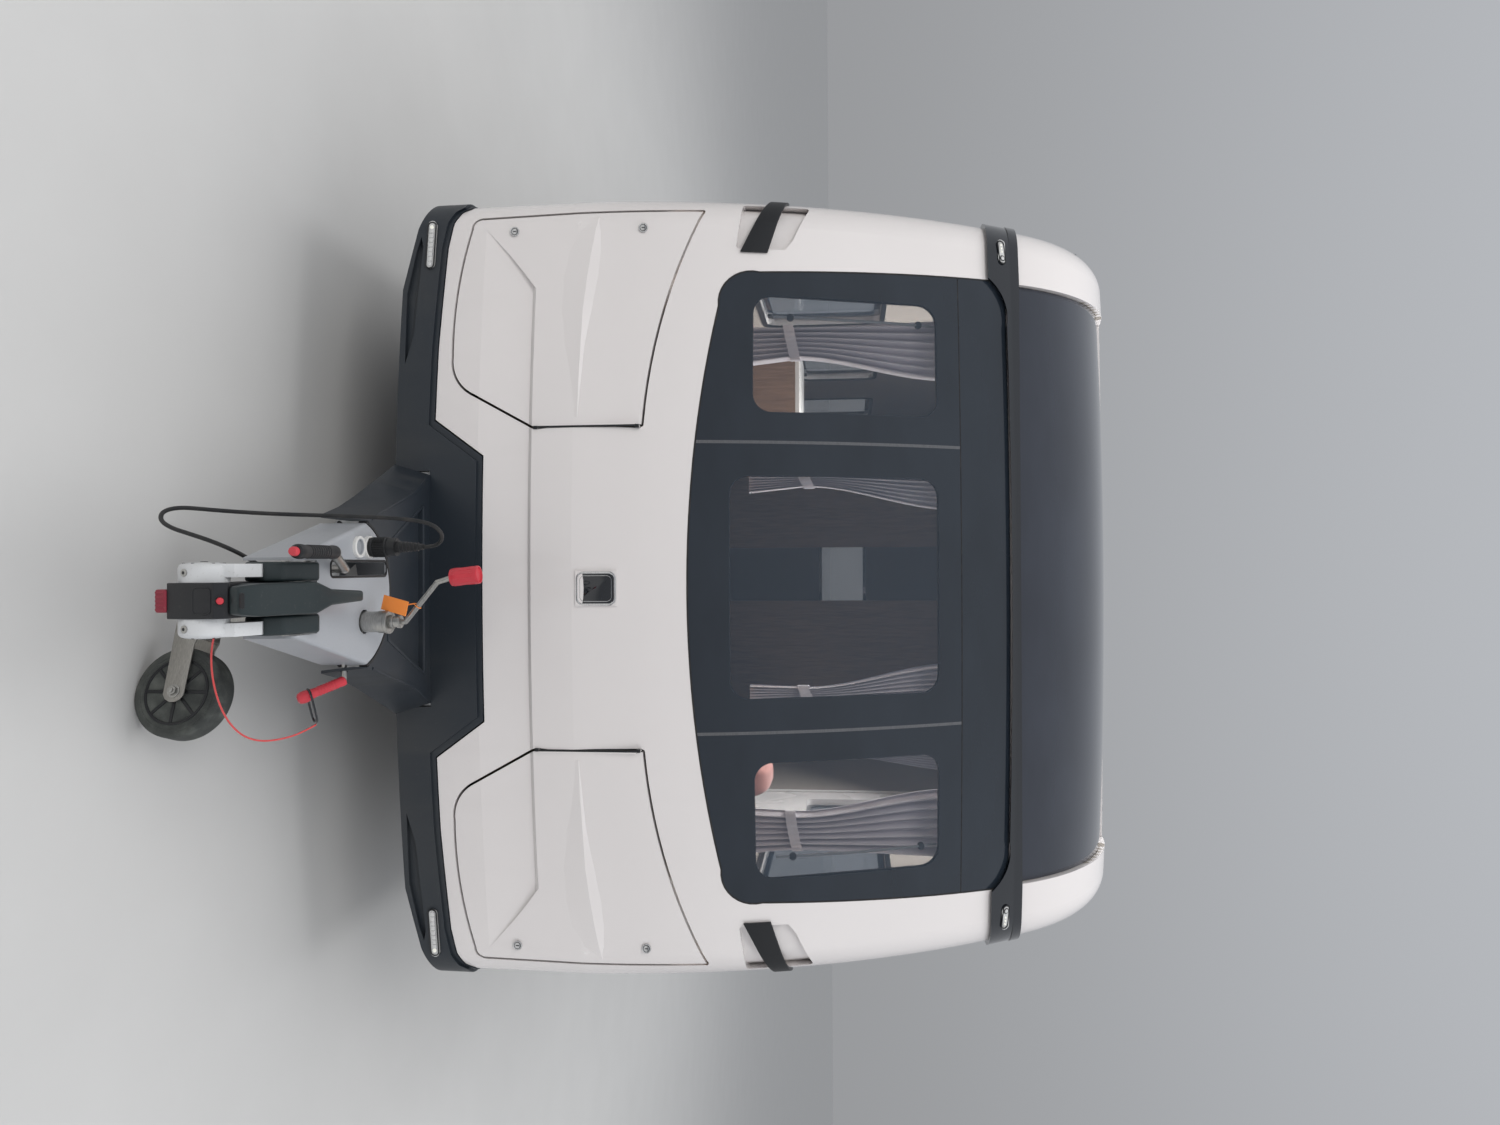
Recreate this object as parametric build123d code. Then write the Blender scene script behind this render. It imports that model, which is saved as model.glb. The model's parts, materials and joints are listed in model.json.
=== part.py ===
from build123d import *
from math import asin, atan2, cos, degrees, hypot, pi, radians, sin, sqrt, tan
from functools import lru_cache
import os

# A single-axle touring caravan parked on its jockey wheel and four corner steadies.
# Millimetres. +X is the nearside (entrance door), -Y the direction of travel, +Z up.
# The origin is on the ground, midway along the overall length.

# Driving dimensions of the body
NOSE_Y = -3500.0            # tip of the coupling
REAR_Y = 3500.0             # outer face of the rear bumper
BODY_REAR_Y = 3468.0        # outer face of the rear panel
BODY_WIDTH = 2310.0
ROOF_Z = 2560.0
SKIRT_Z = 395.0             # lower edge of the walls
WALL = 30.0                 # sandwich panel
CORNER_R = 120.0            # rounding of the vertical corners and the roof edges
FLOOR_Z = 430.0             # underside of the floor
FLOOR_T = 42.0
SIDE_X = BODY_WIDTH / 2

# Side profile of the nose: a lean, a windscreen arc and a tighter arc into the roof
BULGE_Y = -2489.0           # foremost point of the body
BULGE_Z = 850.0
LEAN = 1.5                  # degrees, below the bulge
SCREEN_R = 2500.0
BRIDGE_Z = 2130.0           # where the windscreen arc meets the roof arc
BROW_ANGLE = 25.0           # degrees from upright, start of the roof arc
BOW_Y = 3500.0              # centre of the bow across the nose
CAP_DEPTH = 260.0           # front moulding, measured back from its face

# Panel seams
ROOF_SPLIT_Z = ROOF_Z - CORNER_R - 5.0
REAR_SPLIT_Y = BODY_REAR_Y - CORNER_R - 12.0

# Running gear
SEAT = 0.3                  # clearance of pieces that rest on each other

AXLE_Y = 640.0
TYRE_R = 325.0
TYRE_W = 188.0
RIM_R = 185.0
WHEEL_X = SIDE_X - 153.0    # middle of the tyre
DRUM_R = 118.0
DRUM_W = 60.0
STUB_R = 19.0
STUB_GAP = 1.0
ARM_X = WHEEL_X - 190.0     # outer face of a trailing arm
ARM_T = 40.0
ARM_LEN = 165.0
BEAM_R = 46.0
BEAM_RISE = 30.0            # of the beam over the wheel's centre
ARCH_R = 385.0
ARCH_TOP_Z = 735.0
LINER_X = ARM_X - 12.0      # inner face of the wheel boxes
LINER_T = 6.0

# Chassis
RAIL_X = 505.0
RAIL_T = 40.0
RAIL_H = 128.0
RAIL_REAR_Y = 3330.0
BEND_Y = -2080.0            # where the side members start to converge
HEAD_Y = -2990.0            # front ends of the drawbar rails
HEAD_X = 75.0
HOUSING_R = 33.0            # overrun housing
HOUSING_FRONT_Y = -3190.0

# Nose pieces
GAP = 7.0                   # round a locker door
SEAL = 3.0                  # between fixed panels
GLASS_T = 6.0
GLASS_X = SIDE_X - 215.0
GLASS_TOP_Z = 1962.0
GLASS_LOW_Z = 1176.0
PANE_X = 414.0
STRIP_W = 9.0
HEADER_TOP_Z = 2120.0
SUN_X = GLASS_X + 6.0
SUN_REAR_Y = -1400.0
SUN_SUNK = 18.0
BRIDGE_PROUD = 14.0
LOCKER_RIM = 24.0
LOCKER_T = 36.0
HINGE_X = 463.0
LOCKER_OUT_X = SIDE_X - 57.0
PIN_X = HINGE_X - 3.5       # hinge pins, in the gap beside the door
PIN_R = 3.2
LOCK_X = LOCKER_OUT_X - 56.0
LOCK_Z = (1040.0, 660.0)
LOCK_R = 13.5
LOCK_OUT = 5.0
CREASE_Z = 731.0            # step across the lockers and the middle
CREASE_DEPTH = 15.0
FADE_Z = 572.0              # where the recess under the step runs out
BLADE_PROUD = 8.0
BLADE_LOW_Z = 795.0
HANDLE_PROUD = 9.0
BUMPER_PROUD = 12.0
BUMPER_LIP = 4.0
TEE_X = 378.0
TEE_Z = 586.0
BUMPER_TOP_Z = 441.0
BUMPER_CORNER_Z = 506.0
BUMPER_LOW_Z = 331.0

# Hitch
COUPLING_Z = 400.0
SOCKET_Y = -3445.0
SOCKET_Z = 378.0
SOCKET_R = 25.4
HEAD_HALF = 34.0
CHEEK_R = 45.0
CHEEK_OUT = 71.0
JOCKEY_X = 64.0
JOCKEY_Y = -3029.0
JOCKEY_TUBE_R = 24.0
JOCKEY_WALL = 2.5
JOCKEY_STEM_R = 19.0
JOCKEY_TOP_Z = 571.0
JOCKEY_TUBE_LOW_Z = 275.0
JOCKEY_TRAIL = 173.0
JOCKEY_TURN = -18.0         # degrees from the nearside, towards the nose
JOCKEY_R = 104.0
JOCKEY_W = 62.0
FORK_TOP_Z = JOCKEY_R + 34.0
COVER_Z = 510.0
COVER_LOW_Z = 395.0
COVER_T = 4.0
COVER_X = 166.0             # half width across the back corners
COVER_CORNER_Y = -3013.0
COVER_BACK_Y = -2893.0
COVER_FRONT_Y = -3320.0
COVER_FRONT_X = 83.0
PLUG_X = -109.0
PLUG_Y = -3013.0
PLUG_R = 21.0
CLAMP_Z = 450.0

# Entrance door
DOOR_Y0 = -560.0
DOOR_Y1 = 50.0
DOOR_Z0 = 470.0
DOOR_Z1 = 2270.0
DOOR_T = 30.0
DOOR_GAP = 6.0
DOOR_HINGE_OUT = 9.0

# Corner steadies, folded up for the road
STEADY_X = 600.0
STEADY_Z = 392.0
STEADY_FRONT_Y = -2150.0
STEADY_REAR_Y = 3180.0
STEADY_LEN = 380.0

SIDES = (("off", -1), ("near", 1))


def save(name, shape):
    """Write one node."""
    export_step(shape, f"parts/{name}.step")


def block(x0, x1, y0, y1, z0, z1):
    """A box from its six faces, given in either order along X."""
    return Pos((x0 + x1) / 2, (y0 + y1) / 2, (z0 + z1) / 2) * Box(abs(x1 - x0), y1 - y0, z1 - z0)


def rod(p, q, r):
    """A round bar from p to q."""
    a, b = Vector(*p), Vector(*q)
    return extrude(Plane(a, z_dir=b - a) * Circle(r), (b - a).length)


def pipe(p, q, r, wall):
    """A tube from p to q."""
    a, b = Vector(*p), Vector(*q)
    return extrude(Plane(a, z_dir=b - a) * (Circle(r) - Circle(r - wall)), (b - a).length)


def cord(name, points, diameter):
    """A free cord: straight runs joined by arcs as large as the runs allow."""
    route = [Vector(*p) for p in points]
    runs = [(b - a).length for a, b in zip(route, route[1:])]
    radii = []
    for i in range(1, len(route) - 1):
        turn = (route[i] - route[i - 1]).get_angle(route[i + 1] - route[i])
        radii.append(0.45 * min(runs[i - 1], runs[i]) / tan(radians(turn) / 2))
    path = FilletPolyline(*route, radius=radii)
    tube = sweep(Plane(path @ 0, z_dir=path % 0) * Circle(diameter / 2), path)
    exact = pi * diameter ** 2 / 4 * path.length
    print(name, "length", round(path.length), "runs", [round(r) for r in runs],
          "radii", [round(r) for r in radii], "volume ratio", round(tube.volume / exact, 4))
    save(name, tube)


def slab_x(points, x0, x1):
    """A side-view outline (y, z) extruded from x0 to x1."""
    face = make_face(Polyline(*[(x0, y, z) for y, z in points], close=True))
    return extrude(face, x1 - x0, dir=(1, 0, 0))


def slab_z(points, z0, z1):
    """A plan outline (x, y) extruded from z0 to z1."""
    face = make_face(Polyline(*[(x, y, z0) for x, y in points], close=True))
    return extrude(face, z1 - z0, dir=(0, 0, 1))


def front_slab(face, y0=-2700.0, y1=-1000.0):
    """A front-view face, drawn at y = 0, extruded from y0 to y1."""
    return extrude(Pos(0, y0, 0) * face, y1 - y0, dir=(0, 1, 0))


def front_face(points, radius=0.0):
    """A front-view outline (x, z) at y = 0, with its corners rounded."""
    face = make_face(Polyline(*[(x, 0, z) for x, z in points], close=True))
    return fillet(face.vertices(), radius) if radius else face


def mirrored(shape, side):
    """The shape itself on the nearside, its mirror image on the offside."""
    return shape if side > 0 else mirror(shape, Plane.YZ)


# Nose profile

def arc_point(centre, radius, angle):
    """Point of a nose arc, the angle taken up from straight ahead."""
    return centre[0] - radius * cos(angle), centre[1] + radius * sin(angle)


SCREEN_C = (BULGE_Y + SCREEN_R * cos(radians(LEAN)), BULGE_Z - SCREEN_R * sin(radians(LEAN)))
BROW_R = (ROOF_Z - BRIDGE_Z) / (1 - sin(radians(BROW_ANGLE)))
BRIDGE_Y = SCREEN_C[0] - SCREEN_R * cos(asin((BRIDGE_Z - SCREEN_C[1]) / SCREEN_R))
BROW_C = (BRIDGE_Y + BROW_R * cos(radians(BROW_ANGLE)), ROOF_Z - BROW_R)


def nose_points(inset, low_z):
    """Ends and middles of the nose profile's edges at a given inset."""
    r1, r2 = SCREEN_R - inset, BROW_R - inset
    dy, dz = BROW_C[0] - SCREEN_C[0], BROW_C[1] - SCREEN_C[1]
    gap = hypot(dy, dz)
    along = (r1 * r1 - r2 * r2 + gap * gap) / (2 * gap)
    off = sqrt(r1 * r1 - along * along)
    mid_y, mid_z = SCREEN_C[0] + along * dy / gap, SCREEN_C[1] + along * dz / gap
    meet = min((mid_y + off * dz / gap, mid_z - off * dy / gap),
               (mid_y - off * dz / gap, mid_z + off * dy / gap))
    start = arc_point(SCREEN_C, r1, radians(LEAN))
    angle1 = asin((meet[1] - SCREEN_C[1]) / r1)
    angle2 = asin((meet[1] - BROW_C[1]) / r2)
    screen_mid = arc_point(SCREEN_C, r1, (radians(LEAN) + angle1) / 2)
    brow_mid = arc_point(BROW_C, r2, (angle2 + pi / 2) / 2)
    foot = (start[0] + (start[1] - low_z) * tan(radians(LEAN)), low_z)
    return foot, start, screen_mid, meet, brow_mid, (BROW_C[0], BROW_C[1] + r2)


def nose_edges(points, end_y, place):
    """Closed outline of a nose profile, run back to end_y."""
    foot, start, screen_mid, meet, brow_mid, top = [place(p) for p in points]
    low_end = place((end_y, points[0][1]))
    top_end = place((end_y, points[-1][1]))
    return [Line(low_end, foot), Line(foot, start), ThreePointArc(start, screen_mid, meet),
            ThreePointArc(meet, brow_mid, top), Line(top, top_end), Line(top_end, low_end)]


@lru_cache(maxsize=None)
def envelope(inset, low_z=SKIRT_Z):
    """The body's outer form, or an inner copy at a given inset.

    The nose profile is turned about a far upright axis, which bows the nose, and cut to the
    body's width. One rounding then runs up each front corner and back along the roof's edge.
    """
    half, rear = SIDE_X - inset, BODY_REAR_Y - inset
    points = nose_points(inset, low_z)
    seam_z = points[3][1]
    edges = nose_edges(points, BOW_Y, lambda p: (0, 2 * BOW_Y - p[0], p[1]))
    turned = revolve(make_face(edges), Axis((0, BOW_Y, 0), (0, 0, 1)), 360)
    lower = turned & block(-half, half, -3300, rear, low_z - 1, seam_z)
    upper = turned & block(-half, half, -3300, rear, seam_z, ROOF_Z + 60)

    def on_side(e):
        a, b = e @ 0, e @ 1
        return abs(abs(a.X) - half) < 1 and abs(a.X - b.X) < 1

    def level(e, z):
        return abs((e @ 0).Z - z) < 1 and abs((e @ 1).Z - z) < 1

    def at_rear(e):
        return abs((e @ 0).Y - rear) < 1 and abs((e @ 1).Y - rear) < 1

    corner = CORNER_R - inset
    uprights = [e for e in lower.edges() if on_side(e) and abs((e @ 0).Z - (e @ 1).Z) > 20]
    roof_edges = [e for e in upper.edges() if on_side(e) and not level(e, seam_z)]
    rear_edges = [e for e in upper.edges() if at_rear(e) and level(e, ROOF_Z - inset)]
    return fillet(uprights, corner) + fillet(roof_edges + rear_edges, corner)


def skin_y(x, z, out=0.0):
    """Y of the nose at (x, z), a little outside it."""
    if z > BRIDGE_Z:
        y = BROW_C[0] - sqrt(max(BROW_R ** 2 - (z - BROW_C[1]) ** 2, 0))
    elif z > BULGE_Z:
        y = SCREEN_C[0] - sqrt(SCREEN_R ** 2 - (z - SCREEN_C[1]) ** 2)
    else:
        y = BULGE_Y + (BULGE_Z - z) * tan(radians(LEAN))
    bow = BOW_Y - y
    ball_x = SIDE_X - CORNER_R
    if abs(x) < ball_x * bow / (bow - CORNER_R):
        return BOW_Y - sqrt(bow * bow - x * x) - out
    ball_y = BOW_Y - sqrt((bow - CORNER_R) ** 2 - ball_x ** 2)
    return ball_y - sqrt(max(CORNER_R ** 2 - (abs(x) - ball_x) ** 2, 0)) - out


os.makedirs("parts", exist_ok=True)

OUTER = envelope(0)
INNER = envelope(WALL, SKIRT_Z - 60)
SHELL = OUTER - INNER
CAP_EDGES = nose_edges(nose_points(0, SKIRT_Z - 200), REAR_Y + 200,
                       lambda p: (0, p[0] + CAP_DEPTH, p[1]))
BEHIND_CAP = extrude(make_face(CAP_EDGES), 2000, both=True) + block(
    -2000, 2000, BROW_C[0] + CAP_DEPTH, REAR_Y + 200, ROOF_Z - 1, ROOF_Z + 200)

# Front-view outlines

def glass_outline(grow, top_z):
    """Windscreen outline: bowed lower edge, rounded lower corners."""
    x, low = GLASS_X - 27 + grow, GLASS_LOW_Z - grow
    side_z, turn_x, turn_z, top_x = low + 199, x - 105, low + 84, GLASS_X + 10 + grow
    corner = (x - 22, low + 115)
    edges = [Line((-top_x, 0, top_z), (-x, 0, side_z)),
             ThreePointArc((-x, 0, side_z), (-corner[0], 0, corner[1]), (-turn_x, 0, turn_z)),
             ThreePointArc((-turn_x, 0, turn_z), (0, 0, low), (turn_x, 0, turn_z)),
             ThreePointArc((turn_x, 0, turn_z), (corner[0], 0, corner[1]), (x, 0, side_z)),
             Line((x, 0, side_z), (top_x, 0, top_z)), Line((top_x, 0, top_z), (-top_x, 0, top_z))]
    return make_face(edges)


def locker_outline(grow):
    """Nearside locker door: upright hinge edge, rising top, diagonal lower corner."""
    top = ((HINGE_X, 1045), (780, 1096), (LOCKER_OUT_X, 1208))
    out_low = (LOCKER_OUT_X - 12, 556)
    low = ((LOCKER_OUT_X - 42, 532), (850, 497), (670, 492))
    toe = ((670, 492), (604, 507), (560, 556))
    knee = (HINGE_X, 731)
    at = lambda p: (p[0], 0, p[1])
    edges = [ThreePointArc(*map(at, top)), Line(at(top[2]), at(out_low)),
             ThreePointArc(at(out_low), at((LOCKER_OUT_X - 22, 538)), at(low[0])),
             ThreePointArc(*map(at, low)), ThreePointArc(*map(at, toe)),
             Line(at(toe[2]), at(knee)), Line(at(knee), at(top[0]))]
    face = make_face(edges)
    return offset(face, grow) if grow else face


def bumper_top(grow):
    """Upper edge of the front bumper with its raised middle, as a closed outline below it."""
    half = [(TEE_X + grow, TEE_Z + grow), (484 + grow, BUMPER_TOP_Z + grow), (700, BUMPER_TOP_Z + 2 + grow),
            (SIDE_X - 155, BUMPER_TOP_Z + 15 + grow), (SIDE_X - 75, BUMPER_TOP_Z + 28 + grow),
            (SIDE_X - 38, BUMPER_TOP_Z + 44 + grow), (SIDE_X - 20, BUMPER_CORNER_Z + grow),
            (SIDE_X + 150, BUMPER_CORNER_Z + 4 + grow)]
    left = [(-x, z) for x, z in reversed(half)]
    return left + half + [(SIDE_X + 150, 200), (-SIDE_X - 150, 200)]


def bowed(section):
    """A ring with the bow's curvature, from points given as (outwards from the bulge, z)."""
    points = [(0, 2 * BOW_Y - BULGE_Y + out, z) for out, z in section]
    return revolve(make_face(Polyline(*points, close=True)), Axis((0, BOW_Y, 0), (0, 0, 1)), 360)


def crease_cut():
    """What the recess under the crease takes away: deep under the step, running out below."""
    def at(z):
        return -(BULGE_Z - z) * tan(radians(LEAN))
    wedge = bowed([(at(CREASE_Z), CREASE_Z), (at(CREASE_Z) - CREASE_DEPTH, CREASE_Z - 13), (at(FADE_Z), FADE_Z),
                   (at(FADE_Z) + 40, FADE_Z), (at(CREASE_Z) + 40, CREASE_Z)])
    x = LOCKER_OUT_X
    side = [(x - 263, CREASE_Z + 29), (x - 227, CREASE_Z - 3), (x - 185, CREASE_Z - 35), (x - 130, CREASE_Z - 80),
            (x - 68, CREASE_Z - 137), (x - 20, CREASE_Z - 184)]
    outline = [(-a, z) for a, z in reversed(side)] + side
    return wedge & front_slab(front_face(outline), -2700, -2100)


def blade():
    """Raised blade on a nearside locker door: a facet that catches the light over a soft slope."""
    out = LOCKER_OUT_X
    table = ((HINGE_X + 23, 865, 863, 0.15), (600, 875, 866, 0.5), (690, 882, 870, 0.8), (800, 903, 874, 1.0),
             (out - 198, 920, 884, 1.0), (out - 118, 925, 894, 0.9), (out - 58, 920, 903, 0.6), (out - 20, 912, 910, 0.15))
    faces = []
    for x, high, crest, share in table:
        low = crest - (crest - BLADE_LOW_Z) * max(share, 0.4)
        points = [(x, skin_y(x, high) + 1.5, high), (x, skin_y(x, crest, BLADE_PROUD * share), crest),
                  (x, skin_y(x, low) + 1.5, low), (x, skin_y(x, low) + 8, low), (x, skin_y(x, high) + 8, high)]
        faces.append(make_face(Polyline(*points, close=True)))
    return loft(Sketch() + faces, ruled=True)


def grip_outline(inner, grow):
    """Nearside front-view outline of the grab handle's band, or of the recess behind it."""
    x = SIDE_X - 170
    if inner:
        return front_face(((x, 1305), (SIDE_X - 25, 1322), (SIDE_X - 25, 1518), (x + 30, 1468), (x, 1446)), 8)
    return front_face(((x - grow, 1318), (x - grow, 1396), (SIDE_X + 60, 1468), (SIDE_X + 60, 1428)))


# Front moulding and what is set into it

def make_front():
    """Front moulding with its windscreen, header, sunroof, bridge and lamps."""
    panel = SHELL - BEHIND_CAP
    screen = front_slab(glass_outline(0, HEADER_TOP_Z))
    seat = front_slab(glass_outline(SEAL, HEADER_TOP_Z + SEAL))
    pocket = (OUTER - envelope(GLASS_T, SKIRT_Z)) & seat
    panel -= pocket
    for x0, x1 in ((-GLASS_X + 55, -PANE_X - 30), (-PANE_X + 30, PANE_X - 30), (PANE_X + 30, GLASS_X - 55)):
        opening = glass_outline(-45, GLASS_TOP_Z - 40) & Pos(
            (x0 + x1) / 2, 0, 1600) * Rot(90, 0, 0) * Rectangle(x1 - x0, 1600)
        panel -= front_slab(opening)
    # sunroof
    sun_box = block(-SUN_X, SUN_X, -2400, SUN_REAR_Y, BRIDGE_Z + 24, ROOF_Z + 60)
    sun_seat = block(-SUN_X - SEAL, SUN_X + SEAL, -2400, SUN_REAR_Y + SEAL, BRIDGE_Z + 21, ROOF_Z + 60)
    bed = envelope(GLASS_T + SUN_SUNK, SKIRT_Z)
    panel -= (OUTER - bed) & sun_seat
    panel -= block(-SUN_X + 70, SUN_X - 70, -2400, SUN_REAR_Y - 90, BRIDGE_Z + 90, ROOF_Z - 70)
    sunroof = (envelope(SUN_SUNK, SKIRT_Z) - bed) & sun_box
    # lockers, grip recesses, crease and bumper line
    grip_bed = OUTER - envelope(20, SKIRT_Z)
    for name, side in SIDES:
        panel -= front_slab(mirrored(locker_outline(GAP), side))
        panel -= grip_bed & front_slab(mirrored(grip_outline(True, 0), side), -2700, -2000)
    panel -= crease_cut()
    panel -= front_slab(front_face(bumper_top(SEAL)), -2700, -2000)
    pin_y = skin_y(PIN_X, BULGE_Z)
    for s in (-1, 1):
        for z0, z1 in ((738, 750 - SEAT), (1030 + SEAT, 1042)):
            panel += rod((s * PIN_X, pin_y, z0), (s * PIN_X, pin_y, z1), PIN_R)
            panel += block(s * (HINGE_X - GAP - 3), s * PIN_X, pin_y - 2, pin_y + 21, z0, z1)
    save("front_panel", panel)
    save("sunroof", sunroof)

    glass = (OUTER - envelope(GLASS_T, SKIRT_Z)) & screen
    half_gap = STRIP_W / 2
    panes = ((-GLASS_X - 25, -PANE_X - half_gap), (-PANE_X + half_gap, PANE_X - half_gap),
             (PANE_X + half_gap, GLASS_X + 25))
    cut = [glass & block(x0, x1, -2700, -1000, 1000, GLASS_TOP_Z) for x0, x1 in panes]
    save("front_windows", Compound(children=[k for s in cut for k in s.solids()]))
    save("header_panel", glass & block(-1000, 1000, -2700, -1000, GLASS_TOP_Z + SEAL, HEADER_TOP_Z + 20))
    strips = [glass & block(s * PANE_X - half_gap, s * PANE_X + half_gap, -2700, -1000, 1000, GLASS_TOP_Z)
              for _, s in SIDES]
    save("window_strips", Compound(children=[k for s in strips for k in s.solids()]))


def bridge_outline():
    """Arched moulding over the windscreen, with deeper ends that carry the marker lamps."""
    out_x, top, end_top, low, inner = SIDE_X + 40, 2153, 2166, 2062, GLASS_X + 14
    edges = [Line((-out_x, 0, end_top), (-inner, 0, end_top)),
             ThreePointArc((-inner, 0, end_top), (0, 0, top), (inner, 0, end_top)),
             Line((inner, 0, end_top), (out_x, 0, end_top)), Line((out_x, 0, end_top), (out_x, 0, low)),
             Line((out_x, 0, low), (inner, 0, low)),
             ThreePointArc((inner, 0, low), (inner - 45, 0, 2103), (inner - 150, 0, 2121)),
             ThreePointArc((inner - 150, 0, 2121), (0, 0, 2124), (-inner + 150, 0, 2121)),
             ThreePointArc((-inner + 150, 0, 2121), (-inner + 45, 0, 2103), (-inner, 0, low)),
             Line((-inner, 0, low), (-out_x, 0, low)), Line((-out_x, 0, low), (-out_x, 0, end_top))]
    return make_face(edges)


def make_bridge():
    """Bridge moulding, standing proud of the nose, and a marker lamp in each end."""
    proud = envelope(-BRIDGE_PROUD, SKIRT_Z)
    bridge = ((proud - OUTER) & front_slab(bridge_outline(), -2700, -1400)) - BEHIND_CAP
    lamps = []
    for name, side in SIDES:
        x, z = side * (SIDE_X - 112), 2110
        y = skin_y(x, z)
        turn = Pos(x, y, z) * Rot(90, 0, 0) * Rot(0, side * 18, 0)
        lens = turn * extrude(SlotOverall(78, 24), 24, both=True)
        bridge -= turn * extrude(SlotOverall(80, 26), 60, both=True)
        lamps.append(lens & (envelope(-BRIDGE_PROUD - 3, SKIRT_Z) - OUTER))
    save("front_bridge", bridge)
    save("marker_lamps", Compound(children=[s for k in lamps for s in k.solids()]))


def make_lockers():
    """Two front locker doors with their recess, raised blade and round locks."""
    skin = OUTER - envelope(LOCKER_RIM, SKIRT_Z)
    inner = envelope(LOCKER_RIM, SKIRT_Z) - envelope(LOCKER_T, SKIRT_Z)
    cut = crease_cut()
    raised = blade()
    for name, side in SIDES:
        outer = skin & front_slab(mirrored(locker_outline(0), side))
        back = inner & front_slab(mirrored(locker_outline(-24), side))
        door = (outer + back) - cut + mirrored(raised, side)
        for z in LOCK_Z:
            y = skin_y(LOCK_X, z)
            door += rod((side * LOCK_X, y + 14, z), (side * LOCK_X, y - LOCK_OUT, z), LOCK_R)
        # hinge leaf along the upright edge
        pin_y = skin_y(PIN_X, BULGE_Z)
        hinge = rod((side * PIN_X, pin_y, 750), (side * PIN_X, pin_y, 1030), PIN_R)
        leaf = block(side * PIN_X, side * (HINGE_X + 3), pin_y - 2, pin_y + 21, 750, 1030)
        save(f"locker_door_{name}", door + (leaf + hinge))


def make_walls():
    """Side walls, rear panel and roof with their windows and the door opening."""
    rest = SHELL & BEHIND_CAP
    rear = rest & block(-1300, 1300, REAR_SPLIT_Y, REAR_Y, 0, 3000)
    forward = rest & block(-1300, 1300, -3300, REAR_SPLIT_Y, 0, 3000)
    roof = forward & block(-1300, 1300, -3300, REAR_Y, ROOF_SPLIT_Z, 3000)
    windows = {
        # side: (name, y0, y1, z0, z1)
        "off": [("lounge", -1830, -760, 1240, 1800), ("kitchen", -420, 560, 1330, 1800),
                ("bunk", 1180, 2120, 1240, 1800), ("washroom", 2620, 3020, 1440, 1800)],
        "near": [("lounge", -1830, -760, 1240, 1800), ("dinette", 1050, 2120, 1240, 1800)],
    }
    arch = Pos(0, AXLE_Y, TYRE_R) * Rot(0, 90, 0) * Cylinder(ARCH_R, 300) & block(
        -200, 200, AXLE_Y - 500, AXLE_Y + 500, 0, ARCH_TOP_Z)
    for name, side in SIDES:
        wall = forward & block(0, side * 1300, -3300, REAR_Y, 0, ROOF_SPLIT_Z)
        wall -= Pos(side * SIDE_X, 0, 0) * arch
        wall -= block(side * (SIDE_X - 80), side * (SIDE_X + 80), AXLE_Y - ARCH_R, AXLE_Y + ARCH_R, 0, TYRE_R + 75)
        glazing = []
        for _, y0, y1, z0, z1 in windows[name]:
            pane = make_face(Polyline((0, y0, z0), (0, y1, z0), (0, y1, z1), (0, y0, z1), close=True))
            pane = fillet(pane.vertices(), 70)
            hole = offset(pane, -35)
            wall -= extrude(Pos(side * (SIDE_X - 60), 0, 0) * hole, side * 120, dir=(1, 0, 0))
            sheet = extrude(Pos(side * SIDE_X, 0, 0) * pane, side * 14, dir=(1, 0, 0))
            glazing.append(sheet)
        if side > 0:
            wall -= block(SIDE_X - 80, SIDE_X + 80, DOOR_Y0 - DOOR_GAP, DOOR_Y1 + DOOR_GAP,
                          DOOR_Z0 - DOOR_GAP, DOOR_Z1 + DOOR_GAP)
        save(f"side_wall_{name}", wall)
        save(f"side_windows_{name}", Compound(children=glazing))
    # rear panel with one window
    rear_pane = fillet(front_face(((-520, 1330), (520, 1330), (520, 1800), (-520, 1800))).vertices(), 70)
    rear -= front_slab(offset(rear_pane, -35), BODY_REAR_Y - 60, BODY_REAR_Y + 60)
    save("rear_panel", rear)
    save("rear_window", front_slab(rear_pane, BODY_REAR_Y, BODY_REAR_Y + 14))
    # rooflights sit on the roof over their openings
    lights = (("lounge", 0, -700, 620, 480), ("kitchen", 0, 700, 400, 400), ("washroom", 300, 2800, 400, 400))
    domes = []
    for _, x, y, length, width in lights:
        roof -= block(x - width / 2 + 50, x + width / 2 - 50, y - length / 2 + 50, y + length / 2 - 50,
                      ROOF_Z - 160, ROOF_Z + 140)
        dome = Pos(x, y, ROOF_Z + 30) * Box(width, length, 60)
        dome = fillet(dome.edges().filter_by(Axis.Z), 50)
        dome = fillet(dome.faces().sort_by(Axis.Z)[-1].edges(), 22)
        domes.append(dome)
    save("roof", roof)
    save("rooflights", Compound(children=domes))


def make_floor():
    """Floor with the two wheel boxes and the furniture blocks that show through the glass."""
    plan = envelope(WALL + 0.2, FLOOR_Z - 10) & block(-1300, 1300, -3300, REAR_Y, FLOOR_Z, FLOOR_Z + FLOOR_T)
    floor = plan
    y0, y1 = AXLE_Y - ARCH_R - 10, AXLE_Y + ARCH_R + 10
    for name, side in SIDES:
        outside = SIDE_X - WALL
        floor -= block(side * (LINER_X + LINER_T), side * 1300, y0 + LINER_T, y1 - LINER_T, 0, FLOOR_Z + 60)
        liner = block(side * LINER_X, side * outside, y0, y1, FLOOR_Z, ARCH_TOP_Z + LINER_T)
        liner -= block(side * (LINER_X + LINER_T), side * (outside + 5), y0 + LINER_T, y1 - LINER_T,
                       FLOOR_Z - 5, ARCH_TOP_Z)
        floor += liner
    save("floor", floor)


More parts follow.
